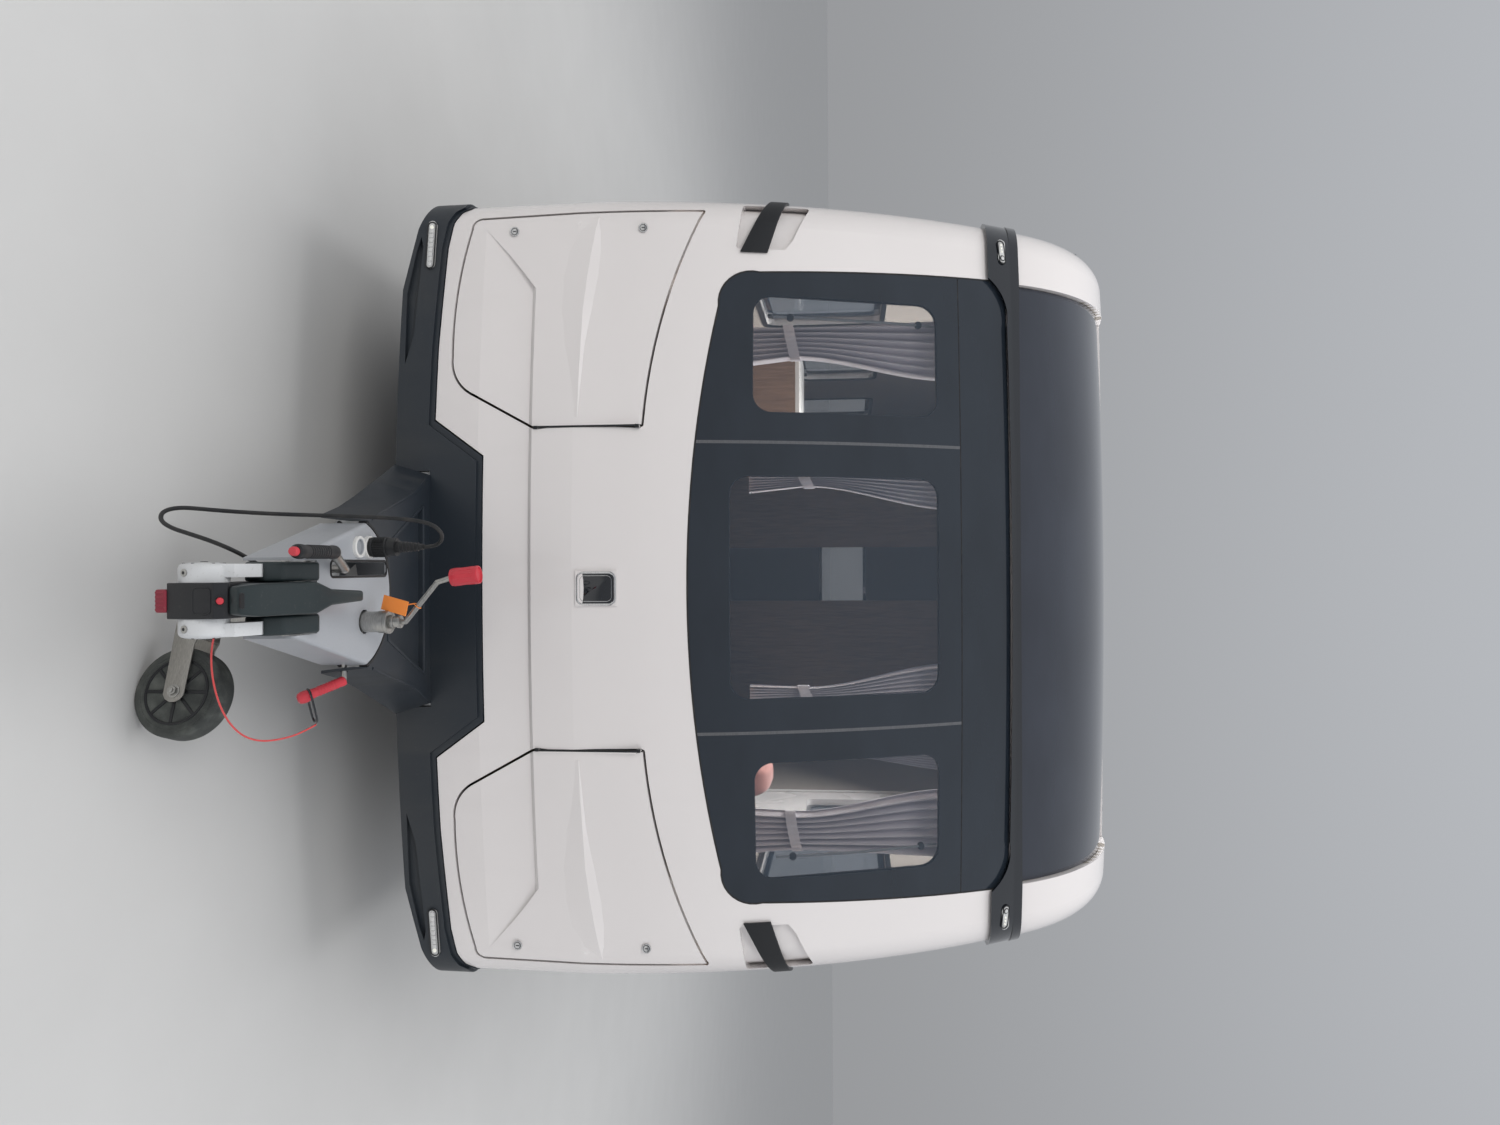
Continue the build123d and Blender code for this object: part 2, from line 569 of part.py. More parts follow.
def make_chassis():
    """Two side members that converge to the overrun housing, with cross members and outriggers."""
    low, top = FLOOR_Z - RAIL_H, FLOOR_Z
    inner_x = RAIL_X - RAIL_T
    head = block(-HEAD_X, HEAD_X, HEAD_Y - 2, HEAD_Y + 30, low, COUPLING_Z + 30)
    beam = rod((-RAIL_X - 20, AXLE_Y - ARM_LEN, TYRE_R + BEAM_RISE),
               (RAIL_X + 20, AXLE_Y - ARM_LEN, TYRE_R + BEAM_RISE), BEAM_R)
    members = [head]
    for s in (-1, 1):
        draw = slab_z([(s * HEAD_X, HEAD_Y), (s * (HEAD_X - RAIL_T), HEAD_Y), (s * inner_x, BEND_Y + 20),
                       (s * RAIL_X, BEND_Y)], low, top)
        rail = slab_z([(s * inner_x, BEND_Y + 20), (s * inner_x, RAIL_REAR_Y), (s * RAIL_X, RAIL_REAR_Y),
                       (s * RAIL_X, BEND_Y)], low, top)
        members += [draw - head, rail - beam]
        for y in (-1200, 1500, 2700):
            members.append(block(s * RAIL_X, s * (SIDE_X - 120), y - 20, y + 20, top - 60, top))
        for y in (STEADY_FRONT_Y, STEADY_REAR_Y):
            inner_cheek, outer_cheek = STEADY_X - 34, STEADY_X + 28
            bracket = block(s * inner_cheek, s * (inner_cheek + 6), y - 30, y + 30, STEADY_Z - 30, top)
            bracket += block(s * outer_cheek, s * (outer_cheek + 6), y - 30, y + 30, STEADY_Z - 30, top)
            bracket += block(s * inner_cheek, s * (outer_cheek + 6), y - 30, y + 30, top - 6, top)
            arm = block(s * inner_x, s * inner_cheek, y - 30, y + 30, STEADY_Z - 16, top)
            for piece in (draw, rail):
                arm -= piece
            bracket += arm.solids().sort_by(lambda k: abs(k.center().X))[-1]
            members.append(bracket)
    for y in (-1950, -300, 2000, 3250):
        members.append(block(-inner_x, inner_x, y - 25, y + 25, low + 20, top))
    # housing with the bracket of the clamp, the handbrake's pin and the gland of the road cable
    nose = rod((0, HOUSING_FRONT_Y, COUPLING_Z), (0, HEAD_Y - 2, COUPLING_Z), HOUSING_R)
    nose += block(-20, JOCKEY_X - JOCKEY_TUBE_R - 4, JOCKEY_Y - 30, JOCKEY_Y + 30,
                  COUPLING_Z + HOUSING_R - 12, CLAMP_Z - 14)
    nose += rod((-HOUSING_R + 3, -3080, COUPLING_Z), (-50, -3080, COUPLING_Z), 10)
    nose += rod((-46, -3140, COUPLING_Z - 4), (-46, -3168, COUPLING_Z - 4), 8)
    nose += block(-48, -HOUSING_R + 4, -3150, -3138, COUPLING_Z - 12, COUPLING_Z + 4)
    members.append(nose)
    save("chassis", Compound(children=[k for m in members for k in m.solids()]))


def make_axle():
    """Rubber-torsion beam with trailing arms, backplates and stub shafts."""
    beam_y, beam_z = AXLE_Y - ARM_LEN, TYRE_R + BEAM_RISE
    arm_in = ARM_X - ARM_T
    beam = rod((-arm_in, beam_y, beam_z), (arm_in, beam_y, beam_z), BEAM_R)
    for side in (-1, 1):
        arm = slab_x([(beam_y - 42, beam_z - 36), (beam_y - 42, beam_z + 36), (beam_y + 20, beam_z + 46),
                      (AXLE_Y + 34, TYRE_R + 34), (AXLE_Y + 34, TYRE_R - 34), (beam_y + 20, beam_z - 46)],
                     min(side * arm_in, side * ARM_X), max(side * arm_in, side * ARM_X))
        plate = rod((side * ARM_X, AXLE_Y, TYRE_R), (side * (ARM_X + 12), AXLE_Y, TYRE_R), DRUM_R - 4)
        stub = rod((side * ARM_X, AXLE_Y, TYRE_R), (side * WHEEL_X, AXLE_Y, TYRE_R), STUB_R)
        collar = rod((side * RAIL_X, beam_y, beam_z), (side * (RAIL_X + 12), beam_y, beam_z), BEAM_R + 14)
        beam += arm + plate + stub + collar
    save("axle", beam)


def make_wheels():
    """Spoked rims with brake drums, and road tyres."""
    half = TYRE_W / 2
    for name, side in SIDES:
        at = Pos(side * WHEEL_X, AXLE_Y, TYRE_R) * Rot(0, 90 * side, 0)
        tyre_section = Pos(0, 0, 0) * make_face(Polyline(
            (RIM_R, -half + 16), (RIM_R + 24, -half + 3), (RIM_R + 72, -half), (TYRE_R - 26, -half + 12),
            (TYRE_R - 5, -half + 34), (TYRE_R, 0), (TYRE_R - 5, half - 34), (TYRE_R - 26, half - 12),
            (RIM_R + 72, half), (RIM_R + 24, half - 3), (RIM_R, half - 16), close=True))
        upright = Plane.XZ
        tyre = revolve(upright * tyre_section, Axis.Z, 360)
        save(f"tyre_{name}", at * tyre)
        barrel = revolve(upright * make_face(Polyline(
            (RIM_R, -70), (RIM_R, 70), (RIM_R - 8, 72), (RIM_R - 14, 60), (RIM_R - 22, 40), (RIM_R - 22, -62),
            close=True)), Axis.Z, 360)
        disc = Pos(0, 0, 42) * Cylinder(RIM_R - 15, 16)
        for i in range(7):
            disc -= Rot(0, 0, i * 360 / 7) * Pos(112, 0, 42) * extrude(
                Ellipse(42, 26), 20, both=True)
        hub = Pos(0, 0, 30) * Cylinder(62, 40)
        drum_z0 = ARM_X + 12 + 6 - WHEEL_X
        drum = Pos(0, 0, (drum_z0 + 12) / 2) * Cylinder(DRUM_R, 12 - drum_z0)
        wheel = barrel + disc + hub + drum
        bore_top = 8
        wheel -= Pos(0, 0, (drum_z0 - 10 + bore_top) / 2) * Cylinder(STUB_R + STUB_GAP, bore_top - drum_z0 + 10)
        save(f"wheel_{name}", at * wheel)


def make_bumpers():
    """Front bumper with its raised middle, rear bumper and their lamps."""
    low = BUMPER_LOW_Z
    foot = [(SIDE_X + 150, 396), (SIDE_X, 396), (SIDE_X - 95, 366), (SIDE_X - 280, low)]
    under = front_slab(front_face([(-x, z) for x, z in foot] + foot[::-1] + [(SIDE_X + 150, 620), (-SIDE_X - 150, 620)]),
                       -2700, -2000)
    inner = envelope(WALL - 8, low - 40)
    lip = (envelope(-BUMPER_LIP, low - 20) - inner) & front_slab(front_face(bumper_top(0)), -2700, -2000)
    body = (envelope(-BUMPER_PROUD, low - 20) - inner) & front_slab(front_face(bumper_top(-13)), -2700, -2000)
    bumper = ((lip + body) & under) - BEHIND_CAP
    scoop_bed = envelope(-BUMPER_PROUD - 4, low - 20) - envelope(2, low - 20)
    for name, side in SIDES:
        x = SIDE_X
        scoop = front_face(((x - 505, 349), (x - 420, 372), (x - 250, 381), (x - 150, 385), (x - 118, 377), (x - 160, 366),
                            (x - 292, 345)))
        bumper -= scoop_bed & front_slab(mirrored(scoop, side), -2700, -2000)
    notch = HEAD_X + (BULGE_Y - HEAD_Y) * (RAIL_X - HEAD_X) / (BEND_Y - HEAD_Y) + 26
    bumper -= block(-notch, notch, -2700, -2000, low - 5, FLOOR_Z + 5)
    lamps = []
    for name, side in SIDES:
        x = side * (SIDE_X - 147)
        z = 411
        y = skin_y(x, z)
        turn = Pos(x, y, z) * Rot(90, 0, 0) * Rot(0, side * 9, 0)
        bumper -= turn * extrude(SlotOverall(150, 30), 18 + SEAT, both=True)
        lamps.append(turn * extrude(SlotOverall(146, 26), 18, both=True))
    save("bumper_front", bumper)
    save("front_lamps", Compound(children=lamps))
    rear = block(-SIDE_X - 8, SIDE_X + 8, REAR_SPLIT_Y, REAR_Y, low + 20, 520)
    rear = fillet(rear.edges().filter_by(Axis.Z).sort_by(Axis.Y)[-2:], CORNER_R)
    rear = rear - envelope(0, low - 40)
    save("bumper_rear", rear)
    clusters = []
    for name, side in SIDES:
        cluster = (envelope(-10, SKIRT_Z) - OUTER) & block(
            side * 930, side * 1080, 3300, REAR_Y, 640, 1180)
        clusters += cluster.solids()
    save("rear_lamps", Compound(children=clusters))


def make_door():
    """Entrance door, hollowed for its window, with its handle."""
    leaf = block(SIDE_X - DOOR_T, SIDE_X, DOOR_Y0, DOOR_Y1, DOOR_Z0, DOOR_Z1)
    leaf = fillet(leaf.edges().filter_by(Axis.X), 45)
    mid = (DOOR_Y0 + DOOR_Y1) / 2
    pane = make_face(Polyline((0, mid - 190, 1380), (0, mid + 190, 1380), (0, mid + 190, 2080), (0, mid - 190, 2080),
                              close=True))
    pane = fillet(pane.vertices(), 60)
    leaf -= extrude(Pos(SIDE_X - 60, 0, 0) * offset(pane, -30), 120, dir=(1, 0, 0))
    hinge_x = SIDE_X + DOOR_HINGE_OUT
    for z in (640, 1370, 2100):
        leaf += block(SIDE_X - 2, hinge_x, DOOR_Y0, DOOR_Y0 + 46, z - 35, z + 35)
        leaf += rod((hinge_x, DOOR_Y0 - 3, z - 35), (hinge_x, DOOR_Y0 - 3, z + 35), 6)
    save("entrance_door", leaf)
    save("door_window", extrude(Pos(SIDE_X, 0, 0) * pane, 9, dir=(1, 0, 0)))
    handle = block(SIDE_X, SIDE_X + 22, DOOR_Y1 - 130, DOOR_Y1 - 40, 1190, 1300)
    handle = fillet(handle.edges(), 9)
    save("door_handle", handle)


def make_steadies():
    """Four corner legs folded up under the floor, each a channel with a foot at its end."""
    for end, y, back in (("front", STEADY_FRONT_Y, 1), ("rear", STEADY_REAR_Y, -1)):
        for name, side in SIDES:
            x = side * STEADY_X
            tip = y + back * STEADY_LEN
            leg = block(x - 20, x + 20, min(y, tip), max(y, tip), STEADY_Z - 12, STEADY_Z + 14)
            leg -= block(x - 16, x + 16, min(y, tip) + 20, max(y, tip) - 20, STEADY_Z - 13, STEADY_Z + 9)
            leg += rod((x - 28 + SEAT, y, STEADY_Z), (x + 28 - SEAT, y, STEADY_Z), 12)
            leg += block(x - 45, x + 45, min(tip, tip + back * 8), max(tip, tip + back * 8), STEADY_Z - 40, STEADY_Z + 30)
            save(f"steady_{end}_{name}", leg)


def cover_plan(grow):
    """Plan of the drawbar cover: bowed back, tapered sides, square front."""
    x, fx = COVER_X + grow, COVER_FRONT_X + grow
    edges = [ThreePointArc((-x, COVER_CORNER_Y, 0), (0, COVER_BACK_Y + grow, 0), (x, COVER_CORNER_Y, 0)),
             Line((x, COVER_CORNER_Y, 0), (fx, COVER_FRONT_Y - grow, 0)),
             Line((fx, COVER_FRONT_Y - grow, 0), (-fx, COVER_FRONT_Y - grow, 0)),
             Line((-fx, COVER_FRONT_Y - grow, 0), (-x, COVER_CORNER_Y, 0))]
    return make_face(edges)


def fairing_form(inset):
    """Tapered body of the drawbar fairing: flared skirts under a top that rises to the coupling."""
    table = (  # y, half width at the top, at the lower edge, lower edge
        (-2478, 327, 358, 330), (-2637, 266, 299, 346), (-2786, 230, 246, 364), (-2907, 201, 210, 382),
        (-3018, 172, 186, 398))
    faces = []
    for y, high_x, low_x, low_z in table:
        high_z = FLOOR_Z + 6 + (COVER_Z - FLOOR_Z) * min(max((-2498 - y) / 552, 0), 1) - inset
        high_x, low_x, low_z = high_x - inset, low_x - inset, low_z - (inset > 0) * 10
        faces.append(make_face(Polyline((-low_x, y, low_z), (low_x, y, low_z), (high_x, y, high_z), (-high_x, y, high_z),
                                        close=True)))
    return loft(Sketch() + faces, ruled=True)


def make_drawbar():
    """Plastic fairing round the drawbar and the moulded cover over the overrun gear."""
    fairing = fairing_form(0) - fairing_form(6)
    fairing += fairing_form(0) & block(-400, 400, -2500, -2470, FLOOR_Z, FLOOR_Z + 40)
    # tray sunk into the top, between the frame and the cover
    def tray(grow):
        return slab_z([(-224 - grow, -2560 + grow), (-112 - grow, -2860 - grow), (112 + grow, -2860 - grow),
                       (224 + grow, -2560 + grow)], 300, 700)
    fairing -= tray(0)
    fairing += (tray(5) - tray(0)) & (fairing_form(1) - fairing_form(18))
    fairing += tray(5) & (fairing_form(12) - fairing_form(18))
    fairing -= extrude(Pos(0, 0, 300) * cover_plan(5), 400)
    fairing -= envelope(-BUMPER_PROUD, 300)
    fairing -= rod((100, JOCKEY_Y + 18, CLAMP_Z), (240, JOCKEY_Y + 22, CLAMP_Z), 9)
    save("drawbar_fairing", Part() + fairing.solids().sort_by(SortBy.VOLUME)[-1])

    cover = extrude(Pos(0, 0, COVER_LOW_Z) * cover_plan(0), COVER_Z - COVER_LOW_Z)
    cover = fillet(cover.faces().sort_by(Axis.Z)[-1].edges(), 9)
    cover -= extrude(Pos(0, 0, COVER_LOW_Z - 5) * cover_plan(-COVER_T), COVER_Z - COVER_T - COVER_LOW_Z + 5)
    cover -= block(-140, 140, HEAD_Y - 4, -2880, COVER_LOW_Z - 10, FLOOR_Z)
    cover -= rod((JOCKEY_X, JOCKEY_Y, 480), (JOCKEY_X, JOCKEY_Y, 560), JOCKEY_TUBE_R + 4)
    cover -= block(-74, -44, -3180, -2920, COVER_Z - 20, COVER_Z + 5)
    cover -= block(-77, 77, COVER_FRONT_Y - 20, COVER_FRONT_Y + 80, COVER_LOW_Z - 10, COVER_Z + 5)
    cover -= rod((JOCKEY_X + 40, JOCKEY_Y + 18, CLAMP_Z), (JOCKEY_X + 160, JOCKEY_Y + 21, CLAMP_Z), 9)
    for y in (PLUG_Y, PLUG_Y - 47):
        seat = Pos(PLUG_X, y, COVER_Z + 3) * (Cylinder(PLUG_R + 1.5, 6) - Cylinder(PLUG_R - 4, 8))
        cover += seat
    save("drawbar_cover", cover)


def make_coupling():
    """Stabiliser coupling head with its cheeks, lever, side wings and soft dock."""
    head = slab_x([(NOSE_Y + 6, 352), (NOSE_Y, 400), (NOSE_Y + 2, 448), (NOSE_Y + 22, 464), (-3300, 458),
                   (-3225, 440), (-3225, 352)], -HEAD_HALF, HEAD_HALF)
    head += rod((0, SOCKET_Y, 352), (0, SOCKET_Y, 440), 42) & block(-HEAD_HALF, HEAD_HALF, -3600, -3300, 300, 500)
    head += rod((0, -3230, COUPLING_Z), (0, HOUSING_FRONT_Y, COUPLING_Z), 27)
    head -= Pos(0, SOCKET_Y, SOCKET_Z) * Sphere(SOCKET_R)
    head -= rod((0, SOCKET_Y, 340), (0, SOCKET_Y, SOCKET_Z), SOCKET_R)
    save("coupling", head)
    cheeks = []
    wings = []
    for side in (-1, 1):
        near, far = side * (HEAD_HALF + SEAT), side * CHEEK_OUT
        pad = rod((near, SOCKET_Y - 6, 399), (far, SOCKET_Y - 6, 399), CHEEK_R)
        rim = pad.edges().filter_by(GeomType.CIRCLE).sort_by(lambda e: abs(e.arc_center.X))[-1]
        pad = fillet(rim, 11)
        x0, x1 = sorted((side * (HEAD_HALF + 10), side * (CHEEK_OUT - 1)))
        arm = slab_x([(-3470, 424), (-3448, 458), (-3390, 478), (-3375 - SEAT, 472), (-3375 - SEAT, 436),
                      (-3420, 410)], x0, x1)
        cheeks.append(pad + arm)
        x0, x1 = sorted((side * (HEAD_HALF + SEAT), side * (CHEEK_OUT + 3)))
        wing = slab_x([(-3374, 430), (-3374, 474), (-3350, 500), (-3262, 528), (-3250, 520), (-3250, 440)], x0, x1)
        wings.append(wing)
    save("coupling_cheeks", Compound(children=cheeks))
    save("coupling_wings", Compound(children=wings))
    side_view = slab_x([(-3478, 464 + SEAT), (-3478, 486), (-3440, 508), (-3290, 548), (-3155, 572), (-3155, 556),
                        (-3285, 524), (-3300, 458 + SEAT)], -40, 40)
    plan = slab_z([(-26, -3480), (-32, -3440), (-33, -3300), (-17, -3255), (-11, -3150), (11, -3150), (17, -3255),
                   (33, -3300), (32, -3440), (26, -3480)], 440, 600)
    save("coupling_handle", side_view & plan)
    save("coupling_dock", block(-22, 22, NOSE_Y + 3, NOSE_Y + 26, 330, 352))


def make_controls():
    """Handbrake lever, jockey clamp with its screw and grip, plug in its parking socket, tag."""
    pin = (-59, -3080, COUPLING_Z)
    elbow = (-59, -3165, 534)
    turn = (-94, -3236, 545)
    lever = rod((-69, pin[1], pin[2]), (-50, pin[1], pin[2]), 16) + rod(pin, elbow, 9)
    lever += rod((-57.5, -3155, 528.5), turn, 9.6)
    lever += rod((-94, -3228, 545), (-94, -3383, 545), 13)
    save("handbrake_lever", lever)

    bend = (203, JOCKEY_Y + 21, CLAMP_Z)
    end = (235, -3056, 380)
    ring = Pos(JOCKEY_X, JOCKEY_Y, CLAMP_Z) * (Cylinder(JOCKEY_TUBE_R + 12, 28) - Cylinder(JOCKEY_TUBE_R, 30))
    clamp = ring + rod((JOCKEY_X + JOCKEY_TUBE_R + 6, JOCKEY_Y + 16, CLAMP_Z), bend, 5.5) + Pos(*bend) * Sphere(5.5)
    clamp += rod(bend, end, 10) + Pos(*end) * Sphere(14)
    save("jockey_clamp", clamp)

    base = COVER_Z + 6
    plug = Pos(PLUG_X, PLUG_Y, base + 33) * Cylinder(PLUG_R, 66)
    plug += Pos(PLUG_X, PLUG_Y, base + 66 + 32) * Cone(13, 7, 64)
    save("road_plug", plug)

    # tag on a ring round the crank
    arm, rise = Vector(-91, -6, 78).normalized(), Vector(28, JOCKEY_Y - 2.4, 640)
    drop = (Vector(0, 0, -1) - arm * Vector(0, 0, -1).dot(arm)).normalized()
    ring = Plane(rise + drop * (8.5 - 6 - SEAT - 1), z_dir=arm) * Torus(8.5, 1)
    low = rise + drop * 9.7
    tag = Pos(26, JOCKEY_Y - 10, 588) * Rot(10, 14, 0) * Box(34, 3, 66)
    save("key_tag", tag + ring + rod(low, (26, JOCKEY_Y - 10, 608), 1.5))


def make_jockey():
    """Jockey wheel: outer tube with crank, sliding stem, swivelling fork and solid wheel."""
    x, y = JOCKEY_X, JOCKEY_Y
    tube = pipe((x, y, JOCKEY_TUBE_LOW_Z), (x, y, JOCKEY_TOP_Z), JOCKEY_TUBE_R, JOCKEY_WALL)
    tube += rod((x, y, JOCKEY_TOP_Z - 8), (x, y, JOCKEY_TOP_Z), JOCKEY_TUBE_R)
    tube += pipe((x, y, JOCKEY_TUBE_LOW_Z), (x, y, JOCKEY_TUBE_LOW_Z + 14), JOCKEY_TUBE_R,
                 JOCKEY_TUBE_R - JOCKEY_STEM_R - SEAT)
    tube += rod((x, y, JOCKEY_TOP_Z), (x, y, JOCKEY_TOP_Z + 22), 13)
    elbow, knee, end = (x, y, 609), (-27, y - 6, 687), (-38, y - 8, 724)
    top = (-44, y - 9, 785)
    tube += rod((x, y, JOCKEY_TOP_Z), elbow, 6) + rod(elbow, knee, 6) + rod(knee, end, 6)
    tube += Pos(*elbow) * Sphere(6) + Pos(*knee) * Sphere(6)
    tube += rod(end, top, 20)
    save("jockey_tube", tube)
    stem = rod((x, y, FORK_TOP_Z + 24 + SEAT), (x, y, JOCKEY_TUBE_LOW_Z + 190), JOCKEY_STEM_R)
    save("jockey_stem", stem)
    half = JOCKEY_W / 2 + 6
    fork = block(-32, 46, -half - 4, half + 4, FORK_TOP_Z - 7, FORK_TOP_Z)
    fork += rod((0, 0, FORK_TOP_Z - 4), (0, 0, FORK_TOP_Z + 24), 24)
    for s in (-1, 1):
        cheek = slab_x([(-32, FORK_TOP_Z), (46, FORK_TOP_Z), (62, JOCKEY_R + 27), (JOCKEY_TRAIL + 8, JOCKEY_R + 25),
                        (JOCKEY_TRAIL + 19, JOCKEY_R + 18), (JOCKEY_TRAIL + 25, JOCKEY_R + 6),
                        (JOCKEY_TRAIL + 25, JOCKEY_R - 6), (JOCKEY_TRAIL + 19, JOCKEY_R - 18),
                        (JOCKEY_TRAIL + 8, JOCKEY_R - 25), (-18, JOCKEY_R - 27), (-32, JOCKEY_R - 14)], -2, 2)
        fork += Pos(0, s * (half + 2), 0) * Rot(0, 0, -90) * cheek
    fork += rod((JOCKEY_TRAIL, -half - 10, JOCKEY_R), (JOCKEY_TRAIL, half + 10, JOCKEY_R), 8)
    place = Pos(x, y, 0) * Rot(0, 0, JOCKEY_TURN)
    save("jockey_fork", place * fork)
    wheel = Pos(JOCKEY_TRAIL, 0, JOCKEY_R) * Rot(90, 0, 0) * (Cylinder(JOCKEY_R, JOCKEY_W) - Cylinder(8 + SEAT, JOCKEY_W + 4))
    wheel = fillet(wheel.edges().filter_by(GeomType.CIRCLE).sort_by(SortBy.RADIUS)[-2:], 10)
    save("jockey_wheel", place * wheel)


def make_cords():
    """The road cable from its parked plug back to the drawbar, and the breakaway cable."""
    cord("road_cable", [(PLUG_X, PLUG_Y, COVER_Z + 136), (PLUG_X, PLUG_Y, 670), (-121, -3024, 694),
                        (-141, -3042, 702), (-159, -3058, 686), (-168, -3068, 652), (-173, -3082, 602),
                        (-176, -3108, 530), (-178, -3143, 450), (-180, -3182, 370), (-184, -3222, 300),
                        (-188, -3254, 258), (-190, -3282, 228), (-180, -3310, 212), (-160, -3330, 222),
                        (-144, -3338, 252), (-131, -3340, 296), (-116, -3336, 340), (-98, -3318, 374),
                        (-78, -3284, 392), (-58, -3244, 397), (-47, -3206, 397),
                        (-46, -3168, COUPLING_Z - 4)], 9)
    cord("breakaway_cable", [(301, -3045, 400), (316, -3078, 382), (323, -3120, 358), (320, -3165, 340),
                             (305, -3205, 328), (278, -3240, 321), (243, -3270, 319), (206, -3296, 322),
                             (165, -3322, 330), (128, -3345, 342), (96, -3364, 356), (74, -3378, 370)], 4)


def make_carabiner():
    """Spring hook that clips the breakaway cable round the clamp's grip."""
    neck, far = Vector(232, -3052, 387), Vector(298, -3045, 400)
    along = (far - neck).normalized()
    grip = Vector(32, -69, -70).normalized()
    flat = Plane(neck + along * 26, x_dir=along, z_dir=along.cross(grip).cross(along))
    loop = flat * SlotOverall(80, 38)
    wire = loop.faces()[0].outer_wire()
    hook = sweep(Plane(wire @ 0, z_dir=wire % 0) * Circle(2.6), wire)
    save("carabiner", hook)


def make_trim():
    """Awning rails, grab handles and the blank badge."""
    rails = []
    handles = []
    seam = lambda dy: extrude(make_face(nose_edges(nose_points(0, SKIRT_Z), REAR_Y, lambda p: (0, p[0] + dy, p[1]))),
                              2000, both=True)
    strip = seam(CAP_DEPTH) - seam(CAP_DEPTH + 16)
    for name, side in SIDES:
        zone = block(side * SIDE_X, side * (SIDE_X + 7), -3000, REAR_Y, 500, ROOF_SPLIT_Z)
        curve = (strip & zone).solids().sort_by(SortBy.VOLUME)[-1]
        top = block(side * SIDE_X, side * (SIDE_X + 7), -1780, REAR_SPLIT_Y, ROOF_SPLIT_Z - 16, ROOF_SPLIT_Z)
        down = block(side * SIDE_X, side * (SIDE_X + 7), REAR_SPLIT_Y - 16, REAR_SPLIT_Y, SKIRT_Z + 10, ROOF_SPLIT_Z)
        rails += (Part() + curve + top + down).solids()
        band = (envelope(-HANDLE_PROUD, SKIRT_Z) - OUTER) & front_slab(
            mirrored(grip_outline(False, 12), side), -2700, -2190)
        handles += [band.solids().sort_by(SortBy.VOLUME)[-1]]
    save("awning_rails", Compound(children=rails))
    save("grab_handles", Compound(children=handles))
    badge = (envelope(-4, SKIRT_Z) - OUTER) & block(-50, 50, -2600, -2300, 861, 979)
    save("badge", badge)


def make_inside():
    """Fixed furniture that shows through the glass: bench boxes, chest, kitchen, washroom wall."""
    low = FLOOR_Z + FLOOR_T
    inside_x = SIDE_X - WALL

    def cabinet(x0, x1, y0, y1, height):
        return block(x0, x1, y0, y1, low, low + height) - block(
            x0 + 15, x1 - 15, y0 + 15, y1 - 15, low - 5, low + height - 15)

    pieces = [cabinet(-inside_x, -420, -1850, -600, 330), cabinet(420, inside_x, -1850, -620, 330),
              cabinet(-300, 300, -2170, -1900, 560), cabinet(-inside_x, -560, -380, 100, 900),
              block(-inside_x, -200, 2380, 2420, low, ROOF_SPLIT_Z),
              block(200, inside_x, 2380, 2420, low, ROOF_SPLIT_Z)]
    cushions = [block(-inside_x + 2, -425, -1840, -610, low + 330 + SEAT, low + 460),
                block(425, inside_x - 2, -1840, -630, low + 330 + SEAT, low + 460)]
    save("seat_cushions", Compound(children=cushions))
    # bulkhead behind the front lockers
    wall = block(-inside_x, inside_x, -2200, -2180, low, 1120) & envelope(WALL, SKIRT_Z)
    shelf = block(-inside_x, inside_x, -2440, -2180, 1100, 1120) & envelope(LOCKER_T + 5, SKIRT_Z)
    pieces += (wall + shelf).solids()
    save("furniture", Compound(children=pieces))


def make_hatches():
    """Service hatches and vents on the side walls, standing a little proud."""
    hatches = []
    table = (  # side, y0, y1, z0, z1
        (-1, 2620, 3000, 520, 860), (-1, 640, 1010, 900, 1090), (-1, 640, 1010, 1560, 1750), (-1, -240, 60, 620, 840),
        (1, 2100, 2420, 560, 900), (1, -1500, -1200, 620, 780))
    for side, y0, y1, z0, z1 in table:
        plate = block(side * SIDE_X, side * (SIDE_X + 5), y0, y1, z0, z1)
        hatches.append(fillet(plate.edges().filter_by(Axis.X), 14))
    save("service_hatches", Compound(children=hatches))


make_front()
make_bridge()
make_lockers()
make_walls()
make_floor()
make_chassis()
make_axle()
make_wheels()
make_bumpers()
make_door()
make_steadies()
make_drawbar()
make_coupling()
make_controls()
make_jockey()
make_cords()
make_carabiner()
make_trim()
make_inside()
make_hatches()
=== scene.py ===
import json
import logging
import math
from dataclasses import dataclass, field
from enum import Enum
from typing import Callable, Iterable, Sequence

import bmesh
import bpy
from mathutils import Matrix, Vector
from mathutils.bvhtree import BVHTree

